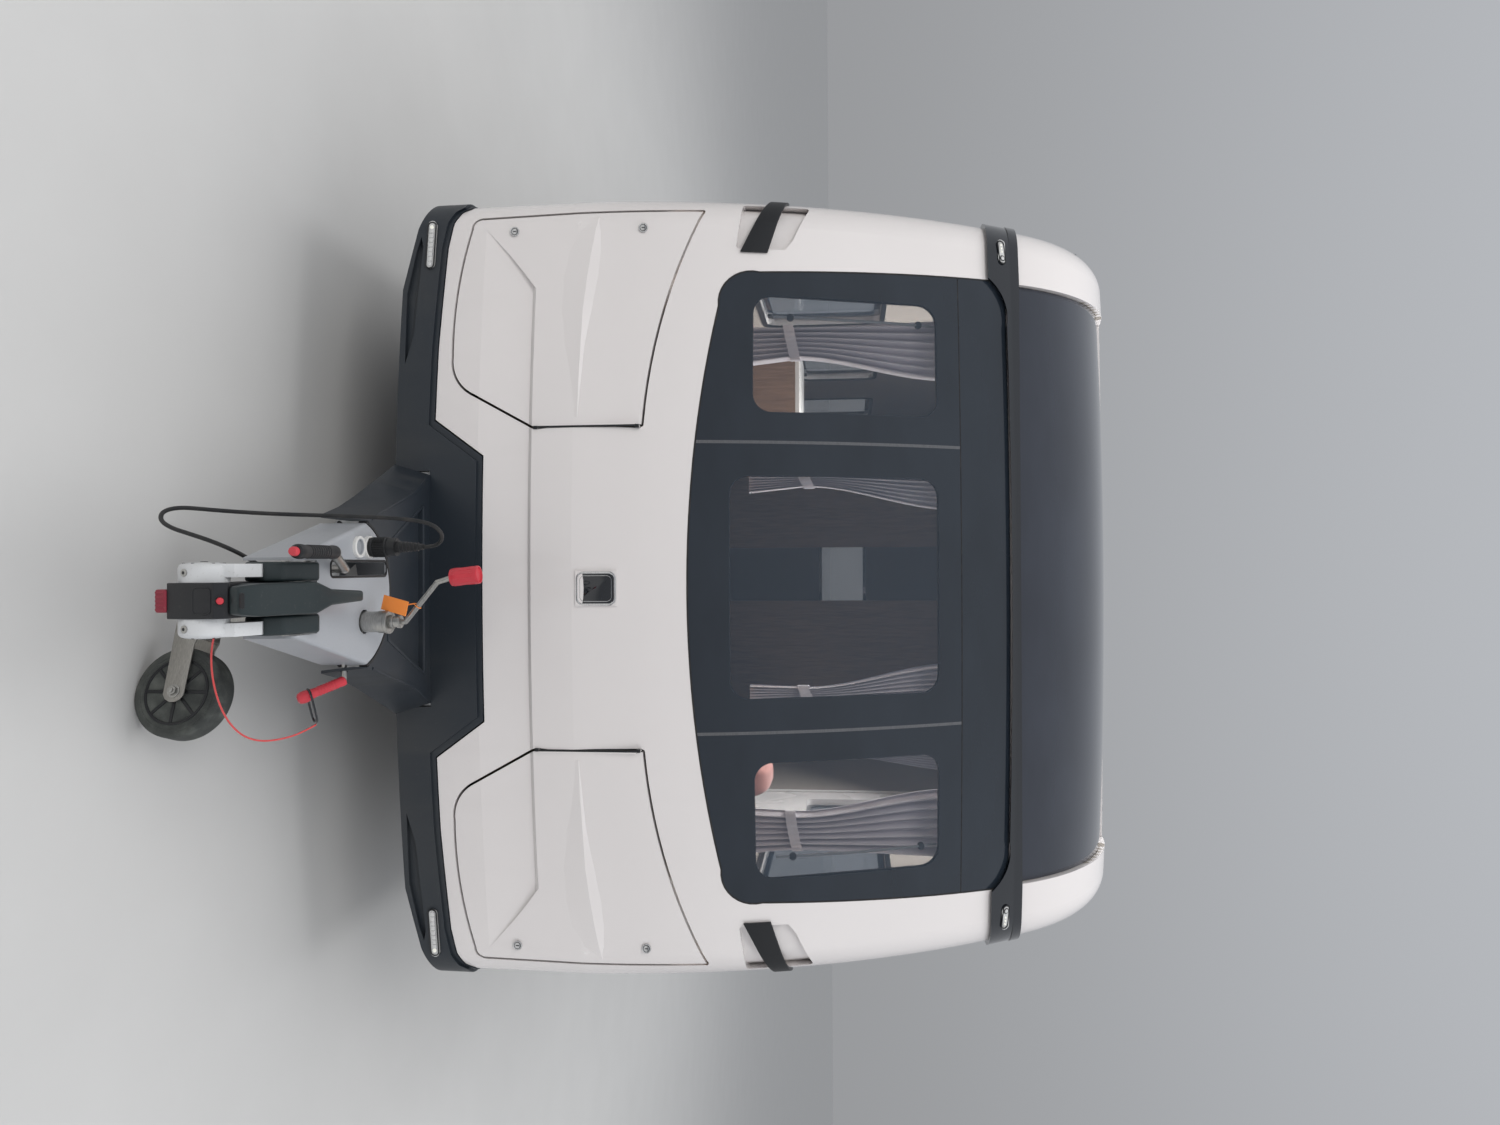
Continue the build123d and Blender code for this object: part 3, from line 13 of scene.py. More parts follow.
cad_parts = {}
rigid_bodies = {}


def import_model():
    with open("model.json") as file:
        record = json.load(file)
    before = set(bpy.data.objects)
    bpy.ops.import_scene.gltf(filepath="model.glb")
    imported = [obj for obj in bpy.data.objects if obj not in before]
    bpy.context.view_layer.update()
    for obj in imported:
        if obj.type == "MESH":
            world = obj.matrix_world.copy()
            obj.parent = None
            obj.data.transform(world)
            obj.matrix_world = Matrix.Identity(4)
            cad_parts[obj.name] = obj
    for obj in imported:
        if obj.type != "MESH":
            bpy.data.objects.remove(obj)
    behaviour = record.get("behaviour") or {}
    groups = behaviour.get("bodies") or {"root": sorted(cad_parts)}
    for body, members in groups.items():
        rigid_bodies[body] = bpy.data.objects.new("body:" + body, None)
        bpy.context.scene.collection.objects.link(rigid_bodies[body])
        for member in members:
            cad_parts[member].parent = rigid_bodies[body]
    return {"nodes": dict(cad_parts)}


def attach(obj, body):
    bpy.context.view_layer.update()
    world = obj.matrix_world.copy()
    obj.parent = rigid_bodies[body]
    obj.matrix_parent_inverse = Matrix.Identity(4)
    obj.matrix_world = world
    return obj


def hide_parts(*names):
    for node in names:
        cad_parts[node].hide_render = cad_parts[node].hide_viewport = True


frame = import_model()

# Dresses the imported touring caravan: finishes, fittings, soft goods, light and camera.
# Metres. +X is the nearside (entrance door), -Y the direction of travel, +Z up.

logging.basicConfig(level=logging.INFO, format="%(name)s: %(message)s")
LOG = logging.getLogger("scene")

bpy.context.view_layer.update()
ROOT = "caravan"
NODES = frame["nodes"]
RGB = tuple[float, float, float]
Pair = tuple[float, float]

# Sizes shared with the solids, in metres
SIDE_X = 1.155
ROOF_Z = 2.560
REAR_Y = 3.468
AXLE_Y = 0.640
WHEEL_X = 1.002
TYRE_R = 0.325
GLASS_X = 0.940
COVER_Z = 0.510
JOCKEY_X, JOCKEY_Y = 0.064, -3.029
FORK_DIR = Vector((0.951057, -0.309017, 0.0))
AXLE_DIR = Vector((0.309017, 0.951057, 0.0))
WHEEL_AT = Vector((JOCKEY_X, JOCKEY_Y, 0.104)) + FORK_DIR * 0.173
LEFT, FORWARD, DOWN = Vector((-1, 0, 0)), Vector((0, -1, 0)), Vector((0, 0, -1))
RIGHT, BACK, UP = Vector((1, 0, 0)), Vector((0, 1, 0)), Vector((0, 0, 1))

# Where one CAD node changes its finish
SKIN_DEPTH = 0.0275
KNOB_Z, GRIP_X = 0.7235, 0.2005

# The nose's profile: a leaning straight up to FOOT_Z, a wide arc up to BROW_Z and a tight arc over it,
# turned about an upright axis at BOW_Y and rounded at its corners
FOOT_Y, FOOT_Z, FOOT_LEAN = -2.489, 0.85, 0.026186
WIDE_Y, WIDE_Z, WIDE_R2 = 0.01014, 0.78456, 6.25
BROW_Y, BROW_Z, BROW_MID_Z, BROW_R2 = -1.42198, 2.130, 1.81526, 0.55464
BOW_Y, CORNER_R, CORNER_R2 = 3.5, 0.120, 0.0144


class Socket:
    """A shader output with arithmetic, so that a mask reads as a formula."""

    def __init__(self, tree: bpy.types.NodeTree, out: bpy.types.NodeSocket) -> None:
        self.tree = tree
        self.out = out

    def _wire(self, node: bpy.types.Node, index: int, value: "Socket | float") -> None:
        if isinstance(value, Socket):
            self.tree.links.new(value.out, node.inputs[index])
        else:
            node.inputs[index].default_value = float(value)

    def _math(self, operation: str, *values: "Socket | float", clamp: bool = False) -> "Socket":
        node = self.tree.nodes.new("ShaderNodeMath")
        node.operation = operation
        node.use_clamp = clamp
        for i, value in enumerate(values):
            self._wire(node, i, value)
        return Socket(self.tree, node.outputs[0])

    def __add__(self, other: "Socket | float") -> "Socket":
        return self._math("ADD", self, other)

    def __sub__(self, other: "Socket | float") -> "Socket":
        return self._math("SUBTRACT", self, other)

    def __rsub__(self, other: float) -> "Socket":
        return self._math("SUBTRACT", other, self)

    def __mul__(self, other: "Socket | float") -> "Socket":
        return self._math("MULTIPLY", self, other)

    def __abs__(self) -> "Socket":
        return self._math("ABSOLUTE", self)

    def __pow__(self, other: float) -> "Socket":
        return self._math("POWER", self, other)

    def sine(self) -> "Socket":
        """The sine of the value in radians."""
        return self._math("SINE", self)

    def at_least(self, other: "Socket | float") -> "Socket":
        """The larger of the two values."""
        return self._math("MAXIMUM", self, other)

    def clamped(self) -> "Socket":
        """The value held between 0 and 1."""
        return self._math("ADD", self, 0.0, clamp=True)

    def ramp(self, low: float, high: float) -> "Socket":
        """A smooth step that is 0 at low and 1 at high.

        Args:
            low: the value where the step starts.
            high: the value where it ends; it may be below low.

        Returns:
            The step, from 0 to 1.
        """
        node = self.tree.nodes.new("ShaderNodeMapRange")
        node.interpolation_type = "SMOOTHSTEP"
        self.tree.links.new(self.out, node.inputs["Value"])
        if low <= high:
            ends = (low, high, 0.0, 1.0)
        else:
            ends = (high, low, 1.0, 0.0)
        for name, value in zip(("From Min", "From Max", "To Min", "To Max"), ends):
            node.inputs[name].default_value = value
        return Socket(self.tree, node.outputs["Result"])


class Paint:
    """A Principled material with helpers for its procedural inputs."""

    def __init__(self, name: str, base: RGB, roughness: float, metallic: float = 0.0) -> None:
        self.material = bpy.data.materials.new(name)
        self.material.use_nodes = True
        self.tree = self.material.node_tree
        self.shader = next(n for n in self.tree.nodes if n.type == "BSDF_PRINCIPLED")
        self.fixed("Base Color", (*base, 1.0))
        self.fixed("Roughness", roughness)
        self.fixed("Metallic", metallic)
        self.material.diffuse_color = (*base, 1.0)
        self._coords = None

    def fixed(self, name: str, value: float | tuple) -> "Paint":
        """Sets a constant on the shader's own socket."""
        self.shader.inputs[name].default_value = value
        return self

    def linked(self, name: str, socket: Socket) -> "Paint":
        """Drives one of the shader's sockets."""
        self.tree.links.new(socket.out, self.shader.inputs[name])
        return self

    def coords(self) -> bpy.types.NodeSocket:
        """Object coordinates, which are metres in the shared frame."""
        if self._coords is None:
            self._coords = self.tree.nodes.new("ShaderNodeTexCoord").outputs["Object"]
        return self._coords

    def axes(self) -> tuple[Socket, Socket, Socket]:
        """The three object coordinates."""
        node = self.tree.nodes.new("ShaderNodeSeparateXYZ")
        self.tree.links.new(self.coords(), node.inputs[0])
        return tuple(Socket(self.tree, node.outputs[i]) for i in range(3))

    def mapped(self, scale: Sequence[float]) -> bpy.types.NodeSocket:
        """Object coordinates stretched along the axes."""
        node = self.tree.nodes.new("ShaderNodeMapping")
        node.inputs["Scale"].default_value = scale
        self.tree.links.new(self.coords(), node.inputs["Vector"])
        return node.outputs[0]

    def noise(self, scale: float, detail: float = 2.0, stretch: Sequence[float] = (1, 1, 1),
              roughness: float = 0.5) -> Socket:
        """Fractal noise, about 0 to 1."""
        node = self.tree.nodes.new("ShaderNodeTexNoise")
        self.tree.links.new(self.mapped(stretch), node.inputs["Vector"])
        node.inputs["Scale"].default_value = scale
        node.inputs["Detail"].default_value = detail
        node.inputs["Roughness"].default_value = roughness
        return Socket(self.tree, node.outputs[0])

    def cells(self, scale: float) -> Socket:
        """Distance to the nearest cell's point."""
        node = self.tree.nodes.new("ShaderNodeTexVoronoi")
        self.tree.links.new(self.mapped((1, 1, 1)), node.inputs["Vector"])
        node.inputs["Scale"].default_value = scale
        return Socket(self.tree, node.outputs["Distance"])

    def mix(self, factor: Socket, low: RGB | Socket, high: RGB | Socket) -> Socket:
        """Blends two colours."""
        node = self.tree.nodes.new("ShaderNodeMix")
        node.data_type = "RGBA"
        self.tree.links.new(factor.out, node.inputs[0])
        for index, value in ((6, low), (7, high)):
            if isinstance(value, Socket):
                self.tree.links.new(value.out, node.inputs[index])
            else:
                node.inputs[index].default_value = (*value, 1.0)
        return Socket(self.tree, node.outputs[2])

    def bump(self, height: Socket, depth: float, strength: float = 1.0) -> "Paint":
        """Raises the surface by up to depth metres."""
        node = self.tree.nodes.new("ShaderNodeBump")
        node.inputs["Strength"].default_value = strength
        node.inputs["Distance"].default_value = depth
        self.tree.links.new(height.out, node.inputs["Height"])
        self.tree.links.new(node.outputs[0], self.shader.inputs["Normal"])
        return self


@dataclass(frozen=True)
class Moulded:
    """Plastic or gelcoat: a colour, a gloss, a grain and some dirt.

    Args:
        name: the material's name.
        base: its clean colour.
        roughness: its clean roughness.
        grain: grains per metre of the surface's texture.
        depth: the grain's height in metres.
        coat: weight of a clear layer.
        grime: how strongly dirt shows, 0 to 1.
        dirt: the dirt's colour.
        low: below this height the dirt is thicker.
        tone: how much the colour varies from place to place.
    """

    name: str
    base: RGB
    roughness: float
    grain: float = 900.0
    depth: float = 0.00004
    coat: float = 0.0
    grime: float = 0.1
    dirt: RGB = (0.20, 0.17, 0.13)
    low: float = 0.5
    tone: float = 0.04

    def build(self) -> bpy.types.Material:
        """Returns the material."""
        p = Paint(self.name, self.base, self.roughness)
        p.fixed("Coat Weight", self.coat).fixed("Coat Roughness", 0.04)
        cloud = p.noise(2.3, 4.0)
        streak = p.noise(9.0, 3.0, (1.0, 1.0, 0.12))
        speck = p.noise(160.0, 2.0).ramp(0.62, 0.74)
        _, _, z = p.axes()
        lowness = (z * -1.0 + self.low).ramp(-0.25, 0.15)
        dirty = ((cloud.ramp(0.45, 0.75) * 0.35 + streak.ramp(0.55, 0.8) * 0.4 + speck * 0.35)
                 * (lowness * 0.8 + 0.25) * self.grime).clamped()
        shade = tuple(c * (1.0 - self.tone) for c in self.base)
        p.linked("Base Color", p.mix(dirty, p.mix(cloud, self.base, shade), self.dirt))
        p.linked("Roughness", (dirty * 0.5 + self.roughness + (cloud - 0.5) * 0.05).clamped())
        p.bump(p.noise(self.grain, 2.0), self.depth)
        return p.material


class Plating(Enum):
    """How bare metal was finished."""

    GALVANISED = "galvanised"
    ZINC = "zinc"
    CHROME = "chrome"
    ALLOY = "alloy"


@dataclass(frozen=True)
class Metal:
    """Bare or plated metal, with spangle and patches of rust."""

    name: str
    base: RGB
    roughness: float
    plating: Plating
    rust: float = 0.0

    def build(self) -> bpy.types.Material:
        """Returns the material."""
        p = Paint(self.name, self.base, self.roughness, 1.0)
        cloud = p.noise(14.0, 5.0)
        if self.plating is Plating.GALVANISED:
            spangle = p.cells(70.0)
            height, depth = p.noise(420.0, 3.0), 0.00010
        else:
            spangle = p.noise(90.0, 3.0, (1.0, 1.0, 6.0))
            height, depth = p.noise(800.0, 2.0), 0.00003
        dull = tuple(c * 0.72 for c in self.base)
        metal = p.mix(spangle.ramp(0.2, 0.8), self.base, dull)
        if self.rust > 0:
            patch = (p.noise(38.0, 6.0, roughness=0.7).ramp(0.60, 0.72) * self.rust).clamped()
            metal = p.mix(patch, metal, (0.20, 0.085, 0.03))
            p.linked("Metallic", 1.0 - patch)
            p.linked("Roughness", (patch * 0.4 + self.roughness + (cloud - 0.5) * 0.16).clamped())
        else:
            p.linked("Roughness", (cloud - 0.5) * 0.14 + self.roughness)
        p.linked("Base Color", metal)
        p.bump(height, depth)
        return p.material


@dataclass(frozen=True)
class Elastomer:
    """Rubber or soft vinyl with dust in its texture."""

    name: str
    base: RGB
    roughness: float = 0.6
    dust: float = 0.25
    dusty: RGB = (0.16, 0.14, 0.12)

    def build(self) -> bpy.types.Material:
        """Returns the material."""
        p = Paint(self.name, self.base, self.roughness)
        cloud = p.noise(30.0, 5.0)
        fine = p.noise(500.0, 3.0)
        _, _, z = p.axes()
        low = (z * -1.0 + 0.12).ramp(-0.2, 0.12)
        dusty = ((cloud.ramp(0.4, 0.8) * 0.6 + fine.ramp(0.5, 0.8) * 0.3 + low * 0.35)
                 * self.dust).clamped()
        p.linked("Base Color", p.mix(dusty, self.base, self.dusty))
        p.linked("Roughness", (dusty * 0.6 + self.roughness).clamped())
        p.bump(fine, 0.00008)
        return p.material


@dataclass(frozen=True)
class TintedPane:
    """Smoked acrylic with an opaque printed border, its see-through fields carrying a painted sky
    reflection.

    Args:
        name: the material's name.
        clear: (axis, low, high, low z, high z, radius) of each see-through field; axis 0 or 1.
        tint: the smoke's colour.
        sky_reflection_and_scatter: the bluish colour that the see-through fields lay over what is behind
            them, a painted sky reflection together with the smoke's own scattering tint.
        density: opacity of the see-through fields.
    """

    name: str
    clear: tuple[tuple[int, float, float, float, float, float], ...] = ()
    tint: RGB = (0.010, 0.014, 0.020)
    sky_reflection_and_scatter: RGB = (0.060, 0.080, 0.108)
    density: float = 0.28

    def build(self) -> bpy.types.Material:
        """Returns the material."""
        p = Paint(self.name, self.tint, 0.035)
        p.fixed("Coat Weight", 0.35).fixed("Coat Roughness", 0.02).fixed("Specular IOR Level", 0.5)
        x, y, z = p.axes()
        seen = None
        for axis, low, high, z0, z1, radius in self.clear:
            along = x if axis == 0 else y
            a = (abs(along - (low + high) / 2) - ((high - low) / 2 - radius)).at_least(0.0)
            b = (abs(z - (z0 + z1) / 2) - ((z1 - z0) / 2 - radius)).at_least(0.0)
            inside = ((a * a + b * b) ** 0.5).ramp(radius, radius - 0.003)
            seen = inside if seen is None else seen.at_least(inside)
        haze = p.noise(3.0, 5.0, (1.0, 1.0, 2.5))
        p.linked("Roughness", haze.ramp(0.55, 0.85) * 0.05 + 0.03)
        tint = p.mix(haze, self.tint, tuple(c * 1.9 + 0.002 for c in self.tint))
        if seen is not None:
            dust = p.noise(240.0, 2.0).ramp(0.66, 0.72) * 0.10
            p.linked("Alpha", (1.0 - seen * (1.0 - self.density) + dust).clamped())
            # the see-through fields take a bluish colour: a painted sky reflection together with the
            # smoke's scattering tint
            tint = p.mix(seen, tint, self.sky_reflection_and_scatter)
        p.linked("Base Color", tint)
        return p.material


@dataclass(frozen=True)
class Cloth:
    """Woven cloth: threads both ways, a sheen and a faint mottle."""

    name: str
    base: RGB
    second: RGB
    threads: float = 900.0

    def build(self) -> bpy.types.Material:
        """Returns the material."""
        p = Paint(self.name, self.base, 0.9)
        p.fixed("Sheen Weight", 0.35).fixed("Sheen Roughness", 0.4)
        x, y, z = p.axes()
        warp = ((x + y * 0.6) * (self.threads * 2.0)).sine()
        weft = (z * (self.threads * 2.0)).sine()
        weave = warp * weft * 0.5 + 0.5
        mottle = p.noise(26.0, 4.0)
        tone = mottle * 0.6 + weave * 0.4
        p.linked("Base Color", p.mix(tone.clamped(), self.base, self.second))
        p.bump(weave, 0.00025)
        return p.material


@dataclass(frozen=True)
class Timber:
    """Foil-faced board with a straight grain."""

    name: str
    base: RGB
    grain: RGB

    def build(self) -> bpy.types.Material:
        """Returns the material."""
        p = Paint(self.name, self.base, 0.42)
        rings = p.noise(16.0, 6.0, (8.0, 8.0, 0.5), 0.6)
        pores = p.noise(90.0, 3.0, (10.0, 10.0, 0.6))
        p.linked("Base Color", p.mix((rings * 0.8 + pores * 0.2).ramp(0.3, 0.7), self.base, self.grain))
        p.linked("Roughness", pores * 0.15 + 0.36)
        p.bump(pores, 0.00012)
        return p.material


@dataclass(frozen=True)
class LampLens:
    """Clear or coloured lens with fine prisms moulded inside."""

    name: str
    base: RGB
    prisms: float = 420.0
    glow: float = 0.0

    def build(self) -> bpy.types.Material:
        """Returns the material."""
        p = Paint(self.name, self.base, 0.08)
        p.fixed("Coat Weight", 1.0).fixed("Coat Roughness", 0.03)
        x, _, z = p.axes()
        ribs = (x * self.prisms * 6.28).sine() * 0.5 + 0.5
        rows = (z * self.prisms * 6.28).sine() * 0.5 + 0.5
        p.linked("Base Color", p.mix(ribs * rows, tuple(c * 0.72 for c in self.base), self.base))
        p.bump(ribs + rows, 0.0004, 0.5)
        if self.glow:
            p.fixed("Emission Color", (*self.base, 1.0)).fixed("Emission Strength", self.glow)
        return p.material


@dataclass(frozen=True)
class Enamel:
    """Bright coloured plastic, such as a grip, with scuffs."""

    name: str
    base: RGB
    roughness: float = 0.35

    def build(self) -> bpy.types.Material:
        """Returns the material."""
        p = Paint(self.name, self.base, self.roughness)
        worn = p.noise(70.0, 6.0, roughness=0.7).ramp(0.60, 0.74) * 0.45
        faded = p.noise(8.0, 3.0)
        pale = tuple(min(1.0, c * 0.75 + 0.10) for c in self.base)
        p.linked("Base Color", p.mix(worn, p.mix(faded * 0.4, self.base, pale), (0.30, 0.27, 0.24)))
        p.linked("Roughness", worn * 0.6 + self.roughness)
        p.bump(p.noise(600.0, 2.0), 0.00005)
        return p.material


class Finishes:
    """Every finish, built once by name."""

    def __init__(self) -> None:
        front = ((0, -0.845, -0.500, 1.355, 1.895, 0.055), (0, -0.318, 0.318, 1.290, 1.895, 0.055),
                 (0, 0.500, 0.845, 1.355, 1.895, 0.055))
        kinds = (
            Moulded("pearl_gelcoat", (0.73, 0.695, 0.685), 0.22, 1400.0, 0.00001, 0.45, 0.12, tone=0.025),
            Moulded("side_skin", (0.715, 0.695, 0.68), 0.27, 1400.0, 0.00001, 0.25, 0.05, tone=0.012),
            Moulded("gloss_black", (0.010, 0.012, 0.016), 0.10, 900.0, 0.000008, 0.8, 0.10,
                    (0.09, 0.085, 0.08), 1.0, 0.2),
            Moulded("anthracite", (0.020, 0.026, 0.034), 0.46, 1100.0, 0.00012, 0.0, 0.45,
                    (0.10, 0.095, 0.085), 0.45, 0.15),
            Moulded("silver_plastic", (0.36, 0.375, 0.40), 0.36, 900.0, 0.00006, 0.15, 0.35,
                    (0.20, 0.18, 0.15), 0.6, 0.10),
            Moulded("black_plastic", (0.014, 0.015, 0.017), 0.42, 1200.0, 0.00008, 0.0, 0.30,
                    (0.12, 0.11, 0.10), 0.6, 0.2),
            Moulded("green_black", (0.018, 0.027, 0.029), 0.38, 1200.0, 0.00008, 0.1, 0.35,
                    (0.13, 0.13, 0.12), 0.7, 0.2),
            Moulded("white_plastic", (0.72, 0.71, 0.69), 0.35, 900.0, 0.00004, 0.1, 0.2),
            Moulded("dome_acrylic", (0.42, 0.44, 0.47), 0.12, 900.0, 0.00001, 0.7, 0.3, low=3.0),
            Moulded("cabin_vinyl", (0.30, 0.27, 0.24), 0.55, 500.0, 0.0001, 0.0, 0.1),
            Metal("galvanised", (0.50, 0.51, 0.52), 0.42, Plating.GALVANISED, 0.25),
            Metal("zinc_plate", (0.58, 0.57, 0.54), 0.34, Plating.ZINC, 0.45),
            Metal("fork_plate", (0.52, 0.50, 0.46), 0.45, Plating.ZINC, 0.35),
            Moulded("cast_paint", (0.60, 0.61, 0.62), 0.30, 700.0, 0.00008, 0.3, 0.45, low=0.9, tone=0.08),
            Metal("chrome_trim", (0.78, 0.78, 0.78), 0.10, Plating.CHROME),
            Metal("rim_alloy", (0.46, 0.47, 0.49), 0.32, Plating.ALLOY),
            Metal("rail_alloy", (0.62, 0.63, 0.64), 0.38, Plating.ALLOY),
            Metal("strip_alloy", (0.30, 0.30, 0.31), 0.42, Plating.ALLOY),
            Elastomer("seal_rubber", (0.012, 0.012, 0.013), 0.5, 0.25),
            Elastomer("cable_rubber", (0.014, 0.015, 0.016), 0.42, 0.25),
            Elastomer("tyre_rubber", (0.020, 0.020, 0.021), 0.68, 0.55),
            Elastomer("solid_tyre", (0.026, 0.029, 0.029), 0.72, 0.65, (0.20, 0.21, 0.19)),
            Elastomer("underside", (0.05, 0.05, 0.05), 0.8, 0.7),
            TintedPane("front_glass", front),
            TintedPane("header_gloss"),
            TintedPane("off_glass", (
                (1, -1.770, -0.820, 1.300, 1.740, 0.045), (1, -0.360, 0.500, 1.390, 1.740, 0.045),
                (1, 1.240, 2.060, 1.300, 1.740, 0.045), (1, 2.675, 2.965, 1.495, 1.745, 0.04))),
            TintedPane("near_glass", ((1, -1.770, -0.820, 1.300, 1.740, 0.045),
                                      (1, 1.110, 2.060, 1.300, 1.740, 0.045))),
            TintedPane("rear_glass", ((0, -0.460, 0.460, 1.390, 1.740, 0.045),)),
            TintedPane("door_glass", ((1, -0.395, -0.115, 1.430, 2.030, 0.04),)),
            TintedPane("sun_glass", tint=(0.016, 0.019, 0.027)),
            Cloth("curtain_cloth", (0.93, 0.89, 0.93), (0.86, 0.81, 0.86), 700.0),
            Cloth("seat_cloth", (0.40, 0.35, 0.31), (0.30, 0.26, 0.23), 500.0),
            Cloth("scatter_cloth", (0.42, 0.20, 0.17), (0.30, 0.14, 0.12), 500.0),
            Timber("cabin_board", (0.28, 0.17, 0.10), (0.17, 0.095, 0.055)),
            LampLens("clear_lens", (0.74, 0.74, 0.73)),
            LampLens("diode", (0.90, 0.89, 0.80), 900.0, 0.35),
            LampLens("red_lens", (0.42, 0.010, 0.012)),
            LampLens("amber_lens", (0.70, 0.20, 0.015)),
            Enamel("signal_red", (0.55, 0.022, 0.040)),
            Enamel("tag_orange", (0.86, 0.25, 0.03), 0.5),
            Enamel("cable_red", (0.62, 0.05, 0.05), 0.4),
            Enamel("dock_red", (0.24, 0.012, 0.03), 0.6),
        )
        self.built = {kind.name: kind.build() for kind in kinds}

    def __getitem__(self, name: str) -> bpy.types.Material:
        return self.built[name]


class Form:
    """A mesh under construction, in metres in the shared frame."""

    def __init__(self) -> None:
        self.bm = bmesh.new()

    def lathe(self, profile: Sequence[Pair], at: Vector, axis: Vector, steps: int = 40,
              slot: int = 0) -> "Form":
        """Turns a profile of (radius, height) pairs about an axis.

        Args:
            profile: the outline, from one end to the other; a closed one repeats its first pair.
            at: the point where the height is 0.
            axis: the direction of growing height.
            steps: facets round the turn.
            slot: the material index of its faces.

        Returns:
            The form itself.
        """
        turn = axis.normalized().to_track_quat("Z", "Y").to_matrix().to_4x4()
        place = Matrix.Translation(at) @ turn
        rings = []
        for r, h in profile:
            count = steps if r > 1e-7 else 1
            rings.append([self.bm.verts.new(place @ Vector((
                r * math.cos(math.tau * k / steps), r * math.sin(math.tau * k / steps), h)))
                for k in range(count)])
        for low, high in zip(rings, rings[1:]):
            for k in range(steps):
                m = (k + 1) % steps
                ends = [low[k % len(low)], low[m % len(low)], high[m % len(high)], high[k % len(high)]]
                kept = list(dict.fromkeys(ends))
                if len(kept) > 2:
                    self.bm.faces.new(kept)
        for ring, (r, _) in ((rings[0], profile[0]), (rings[-1], profile[-1])):
            if r > 1e-7 and profile[0] != profile[-1]:
                self.bm.faces.new(ring)
        if profile[0] == profile[-1]:
            bmesh.ops.remove_doubles(self.bm, verts=rings[0] + rings[-1], dist=1e-7)
        self._claim(slot)
        return self

    def _claim(self, slot: int) -> None:
        """Marks the new faces, still at 0, with slot + 1 and turns their normals outward."""
        fresh = [f for f in self.bm.faces if f.material_index == 0]
        bmesh.ops.recalc_face_normals(self.bm, faces=fresh)
        for f in fresh:
            f.material_index = slot + 1

    def prism(self, outline: Sequence[Pair], at: Vector, right: Vector, out: Vector,
              depth: float, edge: float = 0.0, slot: int = 0) -> "Form":
        """Raises a flat outline along its normal and rounds its front edge.

        Args:
            outline: (right, up) pairs round the outline.
            at: the outline's origin.
            right: the direction of the pairs' first number.
            out: the outline's normal.
            depth: how far it is raised.
            edge: the rounding of the raised rim.
            slot: the material index of its faces.

        Returns:
            The form itself.
        """
        out = out.normalized()
        right = (right - out * right.dot(out)).normalized()
        up = out.cross(right)
        verts = [self.bm.verts.new(at + right * a + up * b) for a, b in outline]
        face = self.bm.faces.new(verts)
        raised = bmesh.ops.extrude_face_region(self.bm, geom=[face])
        top = [v for v in raised["geom"] if isinstance(v, bmesh.types.BMVert)]
        bmesh.ops.translate(self.bm, verts=top, vec=out * depth)
        if edge > 0:
            rim = [e for e in {e for v in top for e in v.link_edges} if all(v in top for v in e.verts)]
            bmesh.ops.bevel(self.bm, geom=rim, offset=edge, segments=2, profile=0.5, affect="EDGES")
        self._claim(slot)
        return self

    def ribbon(self, points: Sequence[Vector], normals: Sequence[Vector], section: Sequence[Pair],
               closed: bool = False, slot: int = 0) -> "Form":
        """Sweeps a small section along points on a surface.

        Args:
            points: the line it follows.
            normals: the surface's normal at each point.
            section: (across, out) pairs of the section, round it.
            closed: whether the line joins up with its start.
            slot: the material index of its faces.

        Returns:
            The form itself.
        """
        n = len(points)
        rings = []
        for i in range(n):
            before = points[i - 1] if closed or i > 0 else points[i]
            after = points[(i + 1) % n] if closed or i < n - 1 else points[i]
            along = (after - before).normalized()
            out = (normals[i] - along * normals[i].dot(along)).normalized()
            across = along.cross(out)
            rings.append([self.bm.verts.new(points[i] + across * a + out * b) for a, b in section])
        m = len(section)
        pairs = list(zip(rings, rings[1:])) + ([(rings[-1], rings[0])] if closed else [])
        for ring, following in pairs:
            for j in range(m):
                self.bm.faces.new((ring[j], ring[(j + 1) % m], following[(j + 1) % m], following[j]))
        if not closed:
            self.bm.faces.new(rings[0])
            self.bm.faces.new(list(reversed(rings[-1])))
        self._claim(slot)
        return self

    def tube(self, points: Sequence[Vector], radius: float | Sequence[float], sides: int = 16,
             slot: int = 0) -> "Form":
        """A round bar along points, turned without twist from one to the next."""
        radii = [radius] * len(points) if isinstance(radius, (int, float)) else list(radius)
        n = len(points)
        normal = None
        rings = []
        for i in range(n):
            along = (points[min(i + 1, n - 1)] - points[max(i - 1, 0)]).normalized()
            if normal is None:
                normal = along.orthogonal().normalized()
            normal = (normal - along * normal.dot(along)).normalized()
            side = along.cross(normal)
            rings.append([self.bm.verts.new(points[i] + spoke(k, sides, normal, side) * radii[i])
                          for k in range(sides)])
        for ring, following in zip(rings, rings[1:]):
            for j in range(sides):
                k = (j + 1) % sides
                self.bm.faces.new((ring[j], ring[k], following[k], following[j]))
        self.bm.faces.new(list(reversed(rings[0])))
        self.bm.faces.new(rings[-1])
        self._claim(slot)
        return self

    def grid(self, rows: Sequence[Sequence[Vector]], slot: int = 0) -> "Form":
        """An open sheet through rows of points."""
        made = [[self.bm.verts.new(p) for p in row] for row in rows]
        for a, b in zip(made, made[1:]):
            for i in range(len(a) - 1):
                self.bm.faces.new((a[i], a[i + 1], b[i + 1], b[i]))
        self._claim(slot)
        return self

    def disc(self, at: Vector, axis: Vector, r: float, h: float, edge: float = 0.0008, steps: int = 28,
             slot: int = 0) -> "Form":
        """A round button that stands on a point, its rim rounded."""
        return self.lathe([(r, -0.001), (r, h - edge), (r - edge * 0.3, h - edge * 0.3), (r - edge, h),
                           (0.0, h)], at, axis, steps, slot)

